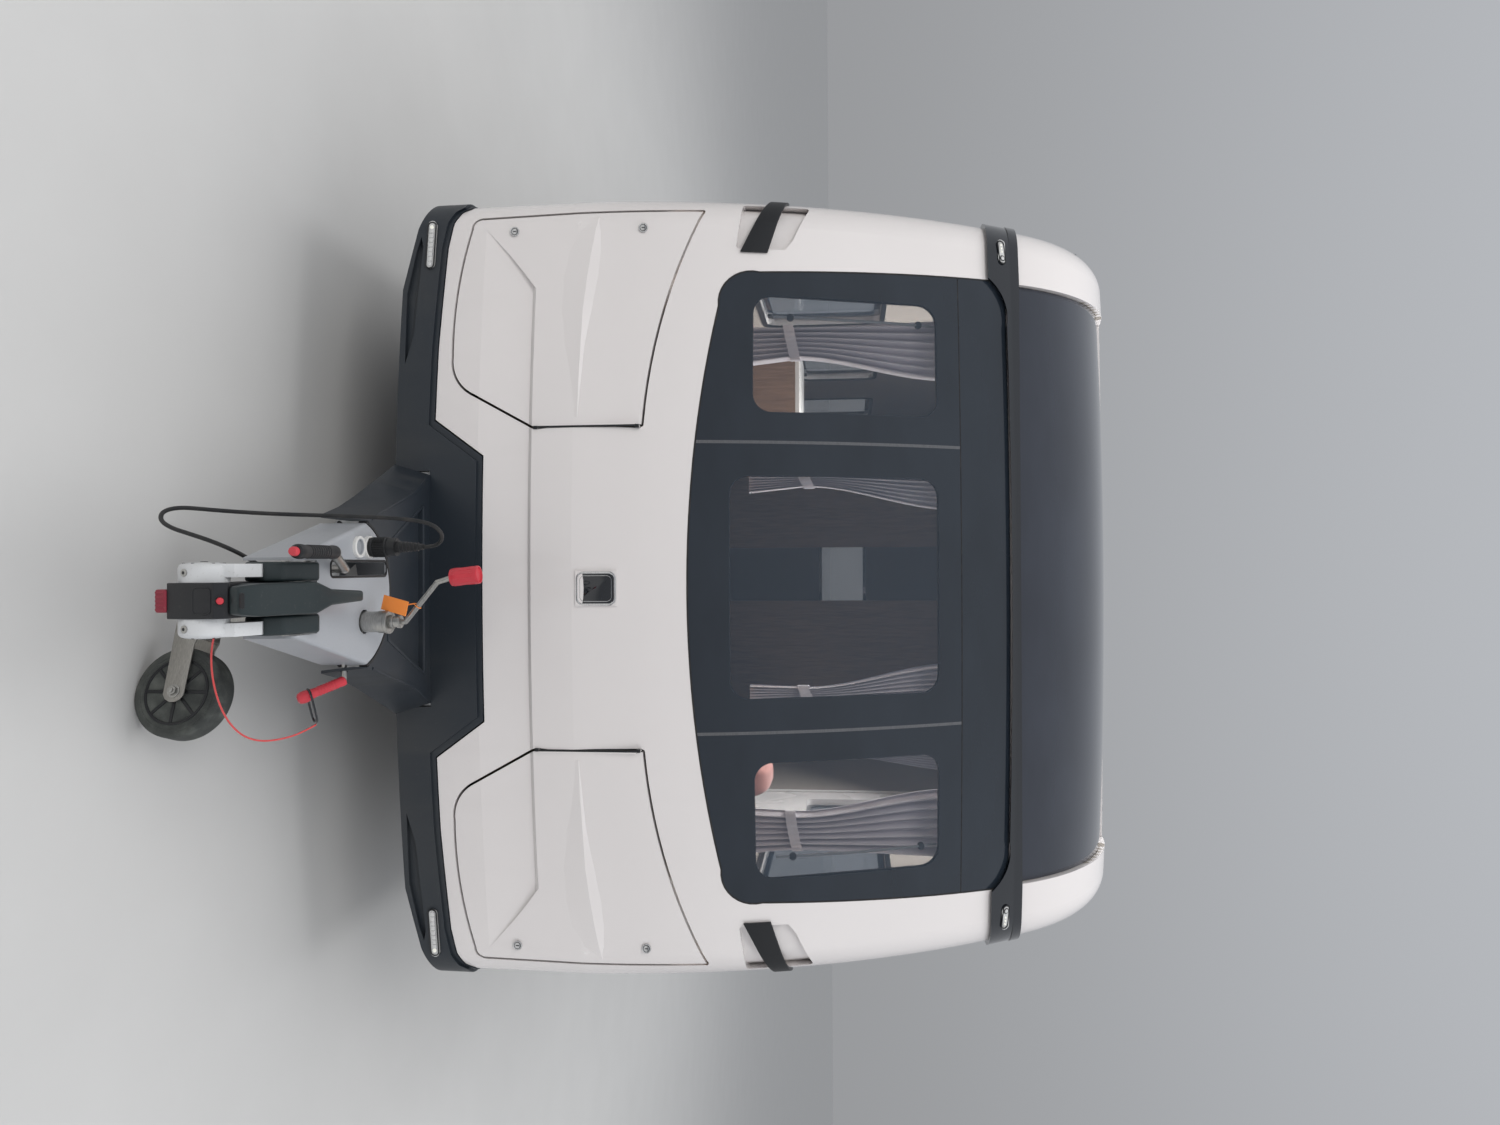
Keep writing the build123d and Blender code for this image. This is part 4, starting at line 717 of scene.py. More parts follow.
    def ring(self, at: Vector, axis: Vector, inner: float, outer: float, h: float, edge: float = 0.0006,
             steps: int = 40, slot: int = 0) -> "Form":
        """A flat ring that stands on a point, its rims rounded."""
        return self.lathe([(inner, -0.001), (outer, -0.001), (outer, h - edge), (outer - edge, h),
                           (inner + edge, h), (inner, h - edge), (inner, -0.001)], at, axis, steps, slot)

    def plate(self, at: Vector, right: Vector, up: Vector, size: Pair, radius: float, depth: float,
              edge: float = 0.001, slot: int = 0) -> "Form":
        """A plate with round corners, raised from its middle point by its depth."""
        out = right.cross(up).normalized()
        outline = rounded(size[0], size[1], radius, 4) if radius > 0 else [
            (size[0] / 2, size[1] / 2), (-size[0] / 2, size[1] / 2), (-size[0] / 2, -size[1] / 2),
            (size[0] / 2, -size[1] / 2)]
        return self.prism(outline, at, right, out, depth, edge, slot)

    def frame(self, at: Vector, right: Vector, up: Vector, size: Pair, radius: float,
              section: Sequence[Pair], slot: int = 0) -> "Form":
        """A section swept round a rectangle with round corners."""
        out = right.cross(up).normalized()
        points = [at + right * a + up * b for a, b in rounded(size[0], size[1], radius, 6)]
        return self.ribbon(points, [out] * len(points), section, True, slot)

    def pad(self, low: Vector, high: Vector, turn: float = 0.24, crown: float = 0.5, rows: int = 30,
            columns: int = 88, slot: int = 0) -> "Form":
        """A crowned cushion between two corners, pulled in between its own corners, flat where it rests."""
        mid, half = (low + high) / 2, (high - low) / 2

        def soft(w: float, power: float) -> float:
            return math.copysign(abs(w) ** power, w)

        rings = []
        for j in range(rows + 1):
            v = math.pi * (j / rows - 0.5)
            ring = []
            for i in range(columns if 0 < j < rows else 1):
                u = math.tau * i / columns
                pull = 1.0 - 0.018 * math.cos(2 * u) ** 2
                dip = 1.0 - 0.05 * math.cos(v) ** 6 * math.sin(3 * u) ** 2
                a = soft(math.cos(v), crown) * soft(math.cos(u), turn) * pull
                b = soft(math.cos(v), crown) * soft(math.sin(u), turn) * pull
                c = max(soft(math.sin(v), crown * 1.1) * dip, -0.90)
                ring.append(self.bm.verts.new(mid + Vector((half.x * a, half.y * b, half.z * c))))
            rings.append(ring)
        for a, b in zip(rings, rings[1:]):
            for i in range(columns):
                k = (i + 1) % columns
                corners = list(dict.fromkeys([a[i % len(a)], a[k % len(a)], b[k % len(b)], b[i % len(b)]]))
                self.bm.faces.new(corners)
        self._claim(slot)
        return self

    def mesh(self, name: str) -> bpy.types.Mesh:
        """Writes the form to a new mesh, its slots counted from 0 again."""
        for f in self.bm.faces:
            f.material_index = max(f.material_index - 1, 0)
        mesh = bpy.data.meshes.new(name)
        self.bm.to_mesh(mesh)
        self.bm.free()
        return mesh


def smooth_by_angle(obj: bpy.types.Object, angle: float) -> None:
    """Shades a mesh smooth, with its edges above an angle kept sharp.

    Args:
        obj: the mesh object.
        angle: the angle in degrees.
    """
    mesh = obj.data
    bm = bmesh.new()
    bm.from_mesh(mesh)
    limit = math.radians(angle)
    for f in bm.faces:
        f.smooth = True
    for e in bm.edges:
        e.smooth = len(e.link_faces) == 2 and e.calc_face_angle(0.0) < limit
    bm.to_mesh(mesh)
    bm.free()


def rounded(width: float, height: float, radius: float, steps: int = 5) -> list[Pair]:
    """Outline of a rectangle with round corners, centred on its origin."""
    pts = []
    for cx, cy, start in ((1, 1, 0), (-1, 1, 90), (-1, -1, 180), (1, -1, 270)):
        for i in range(steps + 1):
            a = math.radians(start + 90.0 * i / steps)
            pts.append((cx * (width / 2 - radius) + radius * math.cos(a),
                        cy * (height / 2 - radius) + radius * math.sin(a)))
    return pts


def half_round(width: float, height: float, steps: int = 6, sunk: float = 0.0006) -> list[Pair]:
    """Section of a bead that lies on a surface."""
    arc = [(-math.cos(math.pi * i / steps) * width / 2, math.sin(math.pi * i / steps) * height)
           for i in range(steps + 1)]
    return [(-width / 2, -sunk)] + arc + [(width / 2, -sunk)]


def arc_through(a: Pair, b: Pair, c: Pair, count: int) -> list[Pair]:
    """Points of the arc from a through b to c."""
    ax, ay, bx, by, cx, cy = *a, *b, *c
    d = 2 * (ax * (by - cy) + bx * (cy - ay) + cx * (ay - by))
    sa, sb, sc = ax * ax + ay * ay, bx * bx + by * by, cx * cx + cy * cy
    ox = (sa * (by - cy) + sb * (cy - ay) + sc * (ay - by)) / d
    oy = (sa * (cx - bx) + sb * (ax - cx) + sc * (bx - ax)) / d
    start, middle, end = (math.atan2(q[1] - oy, q[0] - ox) for q in (a, b, c))
    span = (end - start) % math.tau
    if (middle - start) % math.tau > span:
        span -= math.tau
    r = math.hypot(ax - ox, ay - oy)
    return [(ox + r * math.cos(start + span * i / count), oy + r * math.sin(start + span * i / count))
            for i in range(count + 1)]


def straight(a: Sequence[float], b: Sequence[float], count: int) -> list[tuple[float, ...]]:
    """Evenly spaced points from a to b, both ends kept."""
    return [tuple(p + (q - p) * i / count for p, q in zip(a, b)) for i in range(count + 1)]


def evenly(low: float, high: float, count: int) -> list[float]:
    """Evenly spaced numbers from low to high, both ends kept."""
    return [low + (high - low) * i / count for i in range(count + 1)]


def spoke(k: float, count: int, start: Vector = BACK, end: Vector = UP, turn: float = 0.0) -> Vector:
    """Direction of the k-th of count spokes, counted from start towards end."""
    a = math.tau * k / count + turn
    return start * math.cos(a) + end * math.sin(a)


def nose_y(x: float, z: float) -> float:
    """Y of the nose's outer skin at (x, z)."""
    if z > BROW_Z:
        y = BROW_Y - math.sqrt(max(BROW_R2 - (z - BROW_MID_Z) ** 2, 0.0))
    elif z > FOOT_Z:
        y = WIDE_Y - math.sqrt(WIDE_R2 - (z - WIDE_Z) ** 2)
    else:
        y = FOOT_Y + (FOOT_Z - z) * FOOT_LEAN
    bow, ball_x = BOW_Y - y, SIDE_X - CORNER_R
    if abs(x) < ball_x * bow / (bow - CORNER_R):
        return BOW_Y - math.sqrt(bow * bow - x * x)
    ball_y = BOW_Y - math.sqrt((bow - CORNER_R) ** 2 - ball_x ** 2)
    return ball_y - math.sqrt(max(CORNER_R2 - (abs(x) - ball_x) ** 2, 0.0))


def on_nose(points: Iterable[Pair], lift: float = 0.0) -> tuple[list[Vector], list[Vector]]:
    """Points over the nose's skin and their normals, for a front-view line of (x, z)."""
    spots, normals, e = [], [], 0.0005
    for x, z in points:
        n = Vector((nose_y(x + e, z) - nose_y(x - e, z), -2 * e,
                    nose_y(x, z + e) - nose_y(x, z - e))).normalized()
        spots.append(Vector((x, nose_y(x, z), z)) + n * lift)
        normals.append(n)
    return spots, normals


def box_section(width: float, low: float, high: float) -> list[Pair]:
    """A flat section from one height over the surface to another."""
    return [(-width / 2, low), (width / 2, low), (width / 2, high), (-width / 2, high)]


class Skin:
    """Finds points on the outside of some CAD nodes."""

    def __init__(self, *nodes: str) -> None:
        verts, faces = [], []
        for node in nodes:
            mesh = NODES[node].data
            base = len(verts)
            verts += [v.co.copy() for v in mesh.vertices]
            faces += [[base + i for i in p.vertices] for p in mesh.polygons]
        self.tree = BVHTree.FromPolygons(verts, faces)

    def front(self, x: float, z: float) -> tuple[Vector, Vector]:
        """Point and normal met by a line from the front at (x, z)."""
        hit, normal, _, _ = self.tree.ray_cast(Vector((x, -3.0, z)), BACK)
        if hit is None:
            hit, normal, _, _ = self.tree.find_nearest(Vector((x, -2.45, z)))
        return hit, normal if normal.y < 0 else -normal


def dress(node: str, *materials: bpy.types.Material,
          choose: Callable[[Vector, Vector], int] | None = None) -> bpy.types.Object:
    """Gives a CAD node its finish.

    Args:
        node: the node's name.
        materials: its finishes.
        choose: picks a finish from the middle and the normal of a face.

    Returns:
        The node's object.
    """
    obj = NODES[node]
    obj.data.materials.clear()
    for material in materials:
        obj.data.materials.append(material)
    if choose:
        for polygon in obj.data.polygons:
            polygon.material_index = choose(polygon.center, polygon.normal)
    return obj


@dataclass
class Trim:
    """A group of fittings that share the finishes."""

    finishes: Finishes

    def put(self, form: Form, name: str, body: str, *finishes: str, smooth: float = 35.0,
            stands_for: Sequence[str] = ()) -> bpy.types.Object:
        """Turns a form into an object that rides on a body.

        Args:
            form: the form.
            name: the piece's name.
            body: the CAD body that it moves with.
            finishes: the names of its finishes, by material index.
            smooth: the angle in degrees above which an edge stays sharp.
            stands_for: the CAD nodes that it replaces.

        Returns:
            The object.
        """
        mesh = form.mesh(name)
        for finish in finishes:
            mesh.materials.append(self.finishes[finish])
        obj = bpy.data.objects.new(name, mesh)
        bpy.context.scene.collection.objects.link(obj)
        smooth_by_angle(obj, smooth)
        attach(obj, body)
        if stands_for:
            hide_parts(*stands_for)
        LOG.info("%s: %d faces", name, len(mesh.polygons))
        return obj


@dataclass
class Shells(Trim):
    """The CAD nodes that stay as they are, and the finish of each."""

    plan: dict[str, tuple[str, ...]] = field(default_factory=lambda: {
        "pearl_gelcoat": ("front_panel", "rear_panel", "locker_door_off", "locker_door_near", "badge"),
        "side_skin": ("roof", "side_wall_off", "side_wall_near", "entrance_door"),
        "gloss_black": ("front_bridge", "carabiner"),
        "anthracite": ("bumper_front", "bumper_rear", "drawbar_fairing"),
        "black_plastic": ("door_handle", "grab_handles", "coupling", "road_plug"),
        "sun_glass": ("sunroof",),
        "header_gloss": ("header_panel",),
        "front_glass": ("front_windows",),
        "strip_alloy": ("window_strips",),
        "dome_acrylic": ("rooflights",),
        "rail_alloy": ("awning_rails",),
        "clear_lens": ("marker_lamps", "front_lamps"),
        "red_lens": ("rear_lamps",),
        "white_plastic": ("service_hatches",),
        "underside": ("floor",),
        "cabin_board": ("furniture",),
        "seat_cloth": ("seat_cushions",),
        "galvanised": ("chassis", "axle", "steady_front_off", "steady_front_near", "steady_rear_off",
                       "steady_rear_near"),
        "rim_alloy": ("wheel_off", "wheel_near"),
        "tyre_rubber": ("tyre_off", "tyre_near"),
        "cast_paint": ("coupling_cheeks",),
        "green_black": ("coupling_wings", "coupling_handle"),
        "dock_red": ("coupling_dock",),
        "zinc_plate": ("handbrake_lever", "jockey_tube", "jockey_stem", "jockey_clamp"),
        "silver_plastic": ("drawbar_cover",),
        "fork_plate": ("jockey_fork",),
        "solid_tyre": ("jockey_wheel",),
        "tag_orange": ("key_tag",),
        "off_glass": ("side_windows_off",),
        "near_glass": ("side_windows_near",),
        "rear_glass": ("rear_window",),
        "door_glass": ("door_window",),
    })

    def build(self) -> None:
        """Assigns every finish."""
        for finish, nodes in self.plan.items():
            for node in nodes:
                dress(node, self.finishes[finish])
        middle = Vector((0.0, 0.6, 1.4))

        def inside(at: Vector, normal: Vector) -> int:
            """1 on faces that look into the cabin."""
            return int(normal.dot(at - middle) < -0.02 and abs(at.x) < SIDE_X - 0.02)

        def front(at: Vector, normal: Vector) -> int:
            """2 on the doors' pins, 1 on what lies deeper than the skin, otherwise 0."""
            x = abs(at.x)
            if 0.4525 < x < 0.4629 and 0.73 < at.z < 1.05 and at.y < -2.44 and abs(normal.z) < 0.99:
                return 2
            shoulder = x > SIDE_X - 0.125 and normal.x * at.x > 0.2 and normal.z > 0.2
            grip_recess = x > 0.97 and 1.27 < at.z < 1.58
            if shoulder or grip_recess:
                return 0
            return int(min(at.y - nose_y(at.x, at.z), SIDE_X - x, ROOF_Z - at.z) > SKIN_DEPTH)

        def knob(at: Vector, normal: Vector) -> int:
            """1 on the crank's knob."""
            return int(at.z > KNOB_Z)

        def grip(at: Vector, normal: Vector) -> int:
            """1 on the clamp's grip."""
            return int(at.x > GRIP_X)

        board, black = self.finishes["cabin_vinyl"], self.finishes["black_plastic"]
        gelcoat, skin = self.finishes["pearl_gelcoat"], self.finishes["side_skin"]
        for node in ("roof", "side_wall_off", "side_wall_near"):
            dress(node, skin, board, choose=inside)
        dress("rear_panel", gelcoat, board, choose=inside)
        for node in ("front_panel", "locker_door_off", "locker_door_near"):
            dress(node, gelcoat, board, black, choose=front)
        dress("jockey_tube", self.finishes["zinc_plate"], self.finishes["signal_red"], choose=knob)
        dress("jockey_clamp", self.finishes["zinc_plate"], self.finishes["signal_red"], choose=grip)
        LOG.info("shells: %d nodes dressed", sum(len(nodes) for nodes in self.plan.values()))


def screen_line(grow: float) -> list[Pair]:
    """The windscreen's outline in front view, from its top on the nearside to the top on the offside."""
    x, low = GLASS_X - 0.027 + grow, 1.176 - grow
    side_z, turn_x, turn_z, top_x = low + 0.199, x - 0.105, low + 0.084, GLASS_X + 0.010 + grow
    corner = (x - 0.022, low + 0.115)
    half = straight((top_x, 2.118), (x, side_z), 16)[:-1]
    half += arc_through((x, side_z), corner, (turn_x, turn_z), 10)[:-1]
    foot = arc_through((turn_x, turn_z), (0.0, low), (-turn_x, turn_z), 40)
    return half + foot + [(-a, b) for a, b in reversed(half)]


@dataclass
class NoseTrim(Trim):
    """Seals, badge field, locks and lamp insides on the nose."""

    def seals(self) -> None:
        """Rubber round the windscreen and between the panes and the header."""
        form = Form()
        spots, normals = on_nose(screen_line(0.0015), -0.0004)
        form.ribbon(spots, normals, half_round(0.0058, 0.0016, 4, 0.003))
        spots, normals = on_nose(straight((0.938, 1.9635), (-0.938, 1.9635), 40), -0.0006)
        form.ribbon(spots, normals, half_round(0.0034, 0.0012, 4, 0.003))
        self.put(form, "screen_seals", ROOT, "seal_rubber")
        edge = Form()
        for x0, x1, low in ((-0.845, -0.500, 1.355), (-0.318, 0.318, 1.290), (0.500, 0.845, 1.355)):
            mid_x, mid_z = (x0 + x1) / 2, (low + 1.895) / 2
            line = [(mid_x + a, mid_z + b) for a, b in rounded(x1 - x0 + 0.012, 1.907 - low, 0.06, 6)]
            spots, normals = on_nose(line, -0.0105)
            edge.ribbon(spots, normals, box_section(0.010, -0.006, 0.0), True)
        self.put(edge, "screen_inner_seals", ROOT, "seal_rubber")

    def locks(self) -> None:
        """Round locks with a chrome collar, a turning barrel and a key slot."""
        for name, side in (("off", -1), ("near", 1)):
            form = Form()
            for z in (1.040, 0.660):
                x = side * (SIDE_X - 0.113)
                at = Vector((x, nose_y(x, z) - 0.005, z))
                form.ring(at, FORWARD, 0.0100, 0.0139, 0.0026, 0.0010, 40)
                form.disc(at, FORWARD, 0.0099, 0.0006, 0.0002, 32, 1)
                form.disc(at + FORWARD * 0.0005, FORWARD, 0.0088, 0.0016, 0.0007, 32)
                form.plate(at + FORWARD * 0.0020, RIGHT, UP, (0.0026, 0.0100), 0.0009, 0.0006, 0.0001, 1)
            self.put(form, f"locker_locks_{name}", f"locker_door_{name}", "chrome_trim",
                       "black_plastic")

    def badge(self) -> None:
        """A plain dark field inside the badge's bright frame."""
        at = Vector((0.0, nose_y(0.0, 0.92) - 0.0036, 0.92))
        form = Form()
        form.plate(at, RIGHT, UP, (0.086, 0.104), 0.014, 0.0020, 0.0012, 1)
        form.frame(at, RIGHT, UP, (0.090, 0.108), 0.018, half_round(0.0075, 0.0036, 6, 0.001))
        form.frame(at + FORWARD * 0.0018, RIGHT, UP, (0.072, 0.090), 0.013,
                   half_round(0.0016, 0.0009, 4, 0.0004))
        self.put(form, "badge_field", ROOT, "chrome_trim", "gloss_black")

    def markers(self) -> None:
        """Marker lamps: bezel, round lens and three small diodes."""
        skin = Skin("marker_lamps")
        form = Form()
        for side in (-1, 1):
            at, n = skin.front(side * (SIDE_X - 0.112), 2.110)
            right = (RIGHT - n * n.x).normalized()
            up = n.cross(right)
            form.frame(at, right, up, (0.0765, 0.0235), 0.0117, half_round(0.0034, 0.0022, 4, 0.001), 1)
            form.ring(at - right * side * 0.020, n, 0.0070, 0.0095, 0.0018, 0.0005, 28, 1)
            form.disc(at - right * side * 0.020, n, 0.0068, 0.0034, 0.0026, 28)
            for k in range(3):
                form.disc(at + right * side * (0.002 + 0.011 * k), n, 0.0036, 0.0024, 0.0018, 18, 2)
        self.put(form, "marker_insides", ROOT, "clear_lens", "black_plastic",
                   "diode")

    def lamps(self) -> None:
        """Front bumper lamps: bezel, a long reflector, its cells and a round sidelight."""
        skin = Skin("front_lamps")
        form = Form()
        for side in (-1, 1):
            at, n = skin.front(side * (SIDE_X - 0.147), 0.411)
            right = (RIGHT - n * n.x).normalized()
            up = n.cross(right)
            form.frame(at, right, up, (0.143, 0.0235), 0.0117, half_round(0.0042, 0.0026, 4, 0.001), 1)
            form.plate(at, right, up, (0.134, 0.0150), 0.0070, 0.0006, 0.0002, 2)
            for k in range(9):
                form.plate(at + right * (k - 4) * 0.0145 + n * 0.0006, right, up, (0.0120, 0.0120), 0.0025,
                           0.0016, 0.0008)
            form.disc(at + right * side * 0.0555 + n * 0.0006, n, 0.0062, 0.0032, 0.0026, 24, 3)
        self.put(form, "front_lamp_insides", ROOT, "clear_lens", "black_plastic",
                   "chrome_trim", "diode")

    def stays(self) -> None:
        """Stays and catches of the panes, seen through the clear fields."""
        form = Form()
        for x in (-0.872, -0.792, -0.368, 0.368, 0.792, 0.872):
            line = straight((x, 1.420), (x, 1.900), 10)
            spots, _ = on_nose(line, -0.030 if abs(x) > 0.5 else -0.024)
            form.tube(spots, 0.0045, 10)
            for q in (spots[1], spots[-2]):
                form.disc(q + Vector((0, 0.002, 0)), FORWARD, 0.011, 0.009, 0.002, 20, 1)
        for x in (-0.672, -0.200, 0.200, 0.672):
            spots, normals = on_nose([(x, 1.272)], -0.012)
            form.plate(spots[0], RIGHT, UP, (0.052, 0.020), 0.006, 0.004, 0.001, 1)
        self.put(form, "pane_stays", ROOT, "rail_alloy", "black_plastic")

    def build(self) -> None:
        """Makes all trim of the nose."""
        self.seals()
        self.locks()
        self.badge()
        self.markers()
        self.lamps()
        self.stays()


@dataclass
class HitchTrim(Trim):
    """Small parts of the hitch, the jockey wheel, the cover and the plug."""

    def plug(self) -> None:
        """Parked road plug: base rings, a knurled coupling ring and a ribbed cable boot."""
        f, at = Form(), Vector((-0.109, -3.013, COVER_Z))
        f.ring(at, UP, 0.0215, 0.0262, 0.0095, 0.001, 44, 1)
        f.ring(at + Vector((0, -0.047, 0)), UP, 0.0185, 0.0250, 0.0080, 0.001, 44, 1)
        f.disc(at + Vector((0, -0.047, -0.006)), UP, 0.0180, 0.0015, 0.0005, 32, 2)
        for k in range(7):
            f.disc(at + Vector((0, -0.047, -0.0045)) + spoke(k, 7, RIGHT, BACK) * 0.0105, UP, 0.0022, 0.004,
                   0.001, 12, 3)
        r = 0.0222
        for k in range(36):
            out = spoke(k, 36, RIGHT, BACK)
            f.tube([at + out * r + UP * 0.020, at + out * (r + 0.0004) + UP * 0.034,
                    at + out * r + UP * 0.048], 0.0013, 6)
        f.ring(at + UP * 0.0165, UP, 0.0205, 0.0238, 0.0030, 0.0008, 44)
        f.ring(at + UP * 0.0490, UP, 0.0205, 0.0238, 0.0030, 0.0008, 44)
        for k in range(6):
            h = 0.078 + 0.0085 * k
            r = 0.0134 - 0.0056 * (h - 0.072) / 0.064
            f.lathe([(r, 0), (r + 0.0012, 0.0012), (r + 0.0012, 0.0032), (r - 0.0003, 0.0046)], at + UP * h,
                    UP, 28)
        self.put(f, "plug_rings", ROOT, "black_plastic", "white_plastic",
                "gloss_black", "chrome_trim")

    def cover(self) -> None:
        """Gasket round the cover's back, a bead lower down and the edge of its slot."""
        f = Form()
        back = arc_through((-0.168, -3.012), (0.0, -2.8905), (0.168, -3.012), 30)
        spots = [Vector((x, y, COVER_Z - 0.012)) for x, y in back]
        normals = [Vector((x * 1.6, y + 3.12, 0)).normalized() for x, y in back]
        f.ribbon(spots, normals, box_section(0.020, -0.002, 0.0035))
        low = [Vector((x, y, 0.440)) for x, y in back]
        f.ribbon(low, normals, half_round(0.010, 0.004, 5, 0.001))
        slot_at = Vector((-0.059, -3.050, COVER_Z - 0.0006))
        f.frame(slot_at, RIGHT, BACK, (0.036, 0.266), 0.010, half_round(0.006, 0.0028, 5, 0.001))
        self.put(f, "cover_trim", ROOT, "seal_rubber")

    def fairing(self) -> None:
        """Rim of the fairing's tray and the light edges of its shoulders."""
        f = Form()
        corners = [(-0.226, -2.558), (-0.113, -2.862), (0.113, -2.862), (0.226, -2.558)]
        skin = Skin("drawbar_fairing")

        def top(x: float, y: float) -> Vector:
            hit, _, _, _ = skin.tree.ray_cast(Vector((x, y, 0.7)), DOWN)
            return hit if hit is not None else Vector((x, y, 0.45))

        pts = []
        for a, b in zip(corners, corners[1:] + corners[:1]):
            pts += straight(a, b, 8)[:-1]
        mid_y, grow = -2.71, 0.035
        spots = [top(x + x * grow, y + (y - mid_y) * grow) for x, y in pts]
        f.ribbon(spots, [UP] * len(spots), half_round(0.010, 0.0042, 5, 0.002), True)
        for side in (-1, 1):
            line = [(side * 0.320, -2.500), (side * 0.262, -2.637), (side * 0.226, -2.786),
                    (side * 0.197, -2.907), (side * 0.170, -3.008)]
            pts = [top(x, y) for a, b in zip(line, line[1:]) for x, y in straight(a, b, 4)[:-1]]
            f.ribbon(pts, [UP] * len(pts), half_round(0.008, 0.0028, 5, 0.002))
        self.put(f, "fairing_trim", ROOT, "anthracite")

    def handbrake(self) -> None:
        """Grip sleeve, red release button and pivot of the handbrake."""
        f = Form()
        at = Vector((-0.094, -3.236, 0.545))
        f.lathe([(0.0100, -0.006), (0.0145, -0.003), (0.0152, 0.006), (0.0146, 0.014), (0.0134, 0.022),
                 (0.0134, 0.118), (0.0148, 0.128), (0.0152, 0.138), (0.0140, 0.146), (0.0110, 0.149),
                 (0.0, 0.149)], at, FORWARD, 36)
        for k in range(9):
            f.ring(at + FORWARD * (0.030 + 0.009 * k), FORWARD, 0.0126, 0.0143, 0.0042, 0.0012, 32)
        f.lathe([(0.0095, 0.148), (0.0095, 0.158), (0.0080, 0.161), (0.0, 0.162)], at, FORWARD, 28, 1)
        pivot = Vector((-0.069, -3.080, 0.400))
        f.disc(pivot, LEFT, 0.0145, 0.0030, 0.001, 32, 2)
        f.disc(pivot + LEFT * 0.003, LEFT, 0.0085, 0.0060, 0.001, 6, 2)
        self.put(f, "handbrake_grip", ROOT, "black_plastic", "signal_red",
                "zinc_plate")

    def jockey(self) -> None:
        """Crank knob, collars, clamp grip, clevis nuts and the faces of the wheel."""
        f = Form()
        base, top = Vector((-0.038, -3.037, 0.724)), Vector((-0.044, -3.038, 0.785))
        axis = (top - base).normalized()
        f.lathe([(0.0080, -0.004), (0.0170, -0.002), (0.0208, 0.004), (0.0204, 0.020), (0.0186, 0.032),
                 (0.0200, 0.050), (0.0212, 0.060), (0.0204, 0.0645), (0.0178, 0.0650), (0.0160, 0.0600),
                 (0.0, 0.0585)], base, axis, 40)
        side = axis.orthogonal().normalized()
        for k in range(12):
            out = spoke(k, 12, side, axis.cross(side))
            f.tube([base + out * 0.0200 + axis * 0.008, base + out * 0.0192 + axis * 0.030,
                    base + out * 0.0202 + axis * 0.054], 0.0014, 6)
        self.put(f, "crank_knob", ROOT, "signal_red")
        f = Form()
        centre = Vector((JOCKEY_X, JOCKEY_Y, 0))
        for z, r, h in ((0.548, 0.0243, 0.016), (0.276, 0.0243, 0.010), (0.330, 0.0241, 0.003),
                        (0.566, 0.0262, 0.0065)):
            f.ring(centre + UP * z, UP, r - 0.003, r + 0.0016, h, 0.0008, 44)
        f.disc(centre + UP * 0.593, UP, 0.0150, 0.0065, 0.0020, 32)
        f.ring(centre + UP * 0.5725, UP, 0.0125, 0.0158, 0.0100, 0.0015, 32)
        f.disc(Vector((JOCKEY_X + 0.024, JOCKEY_Y, 0.500)), RIGHT, 0.0055, 0.0030, 0.001, 20)
        self.put(f, "tube_collars", ROOT, "zinc_plate")
        f = Form()
        bend, end = Vector((0.203, -3.008, 0.450)), Vector((0.235, -3.056, 0.380))
        along = (end - bend).normalized()
        f.lathe([(0.0060, -0.004), (0.0105, -0.002), (0.0118, 0.004), (0.0108, 0.014), (0.0108, 0.068),
                 (0.0126, 0.078), (0.0145, 0.088), (0.0142, 0.098), (0.0118, 0.105), (0.0060, 0.1085),
                 (0.0, 0.109)], bend, along, 32)
        for k in range(7):
            f.ring(bend + along * (0.018 + 0.0065 * k), along, 0.0100, 0.0117, 0.0034, 0.001, 28)
        self.put(f, "clamp_grip", ROOT, "signal_red")
        f = Form()
        for way in (-1, 1):
            at = WHEEL_AT + AXLE_DIR * (0.0415 * way)
            out = AXLE_DIR * way
            f.disc(at, out, 0.0150, 0.0018, 0.0005, 32)
            f.disc(at + out * 0.0018, out, 0.0112, 0.0082, 0.0012, 6)
            f.disc(at + out * 0.0100, out, 0.0062, 0.0040, 0.0010, 20)
        swivel = centre + UP * 0.1285
        f.ring(swivel, UP, 0.0235, 0.0285, 0.0040, 0.001, 36)
        self.put(f, "clevis_nuts", "jockey_fork", "zinc_plate")
        f = Form()
        for way in (-1, 1):
            face = WHEEL_AT + AXLE_DIR * (0.0308 * way)
            out = AXLE_DIR * way
            f.ring(face, out, 0.0700, 0.0765, 0.0026, 0.0010, 64)
            f.ring(face, out, 0.0855, 0.0905, 0.0012, 0.0005, 64, 1)
            f.ring(face, out, 0.0095, 0.0220, 0.0045, 0.0012, 40)
            for k in range(8):
                d = spoke(k, 8, FORK_DIR)
                f.plate(face + d * 0.046, d, out.cross(d), (0.050, 0.0075), 0.0, 0.0022, 0.0008)
        across = AXLE_DIR * 0.020
        for k in range(40):
            at = WHEEL_AT + spoke(k, 40, FORK_DIR) * 0.1030
            f.tube([at - across, at, at + across], 0.0009, 5, 1)
        self.put(f, "jockey_wheel_faces", "jockey_wheel", "black_plastic", "solid_tyre")

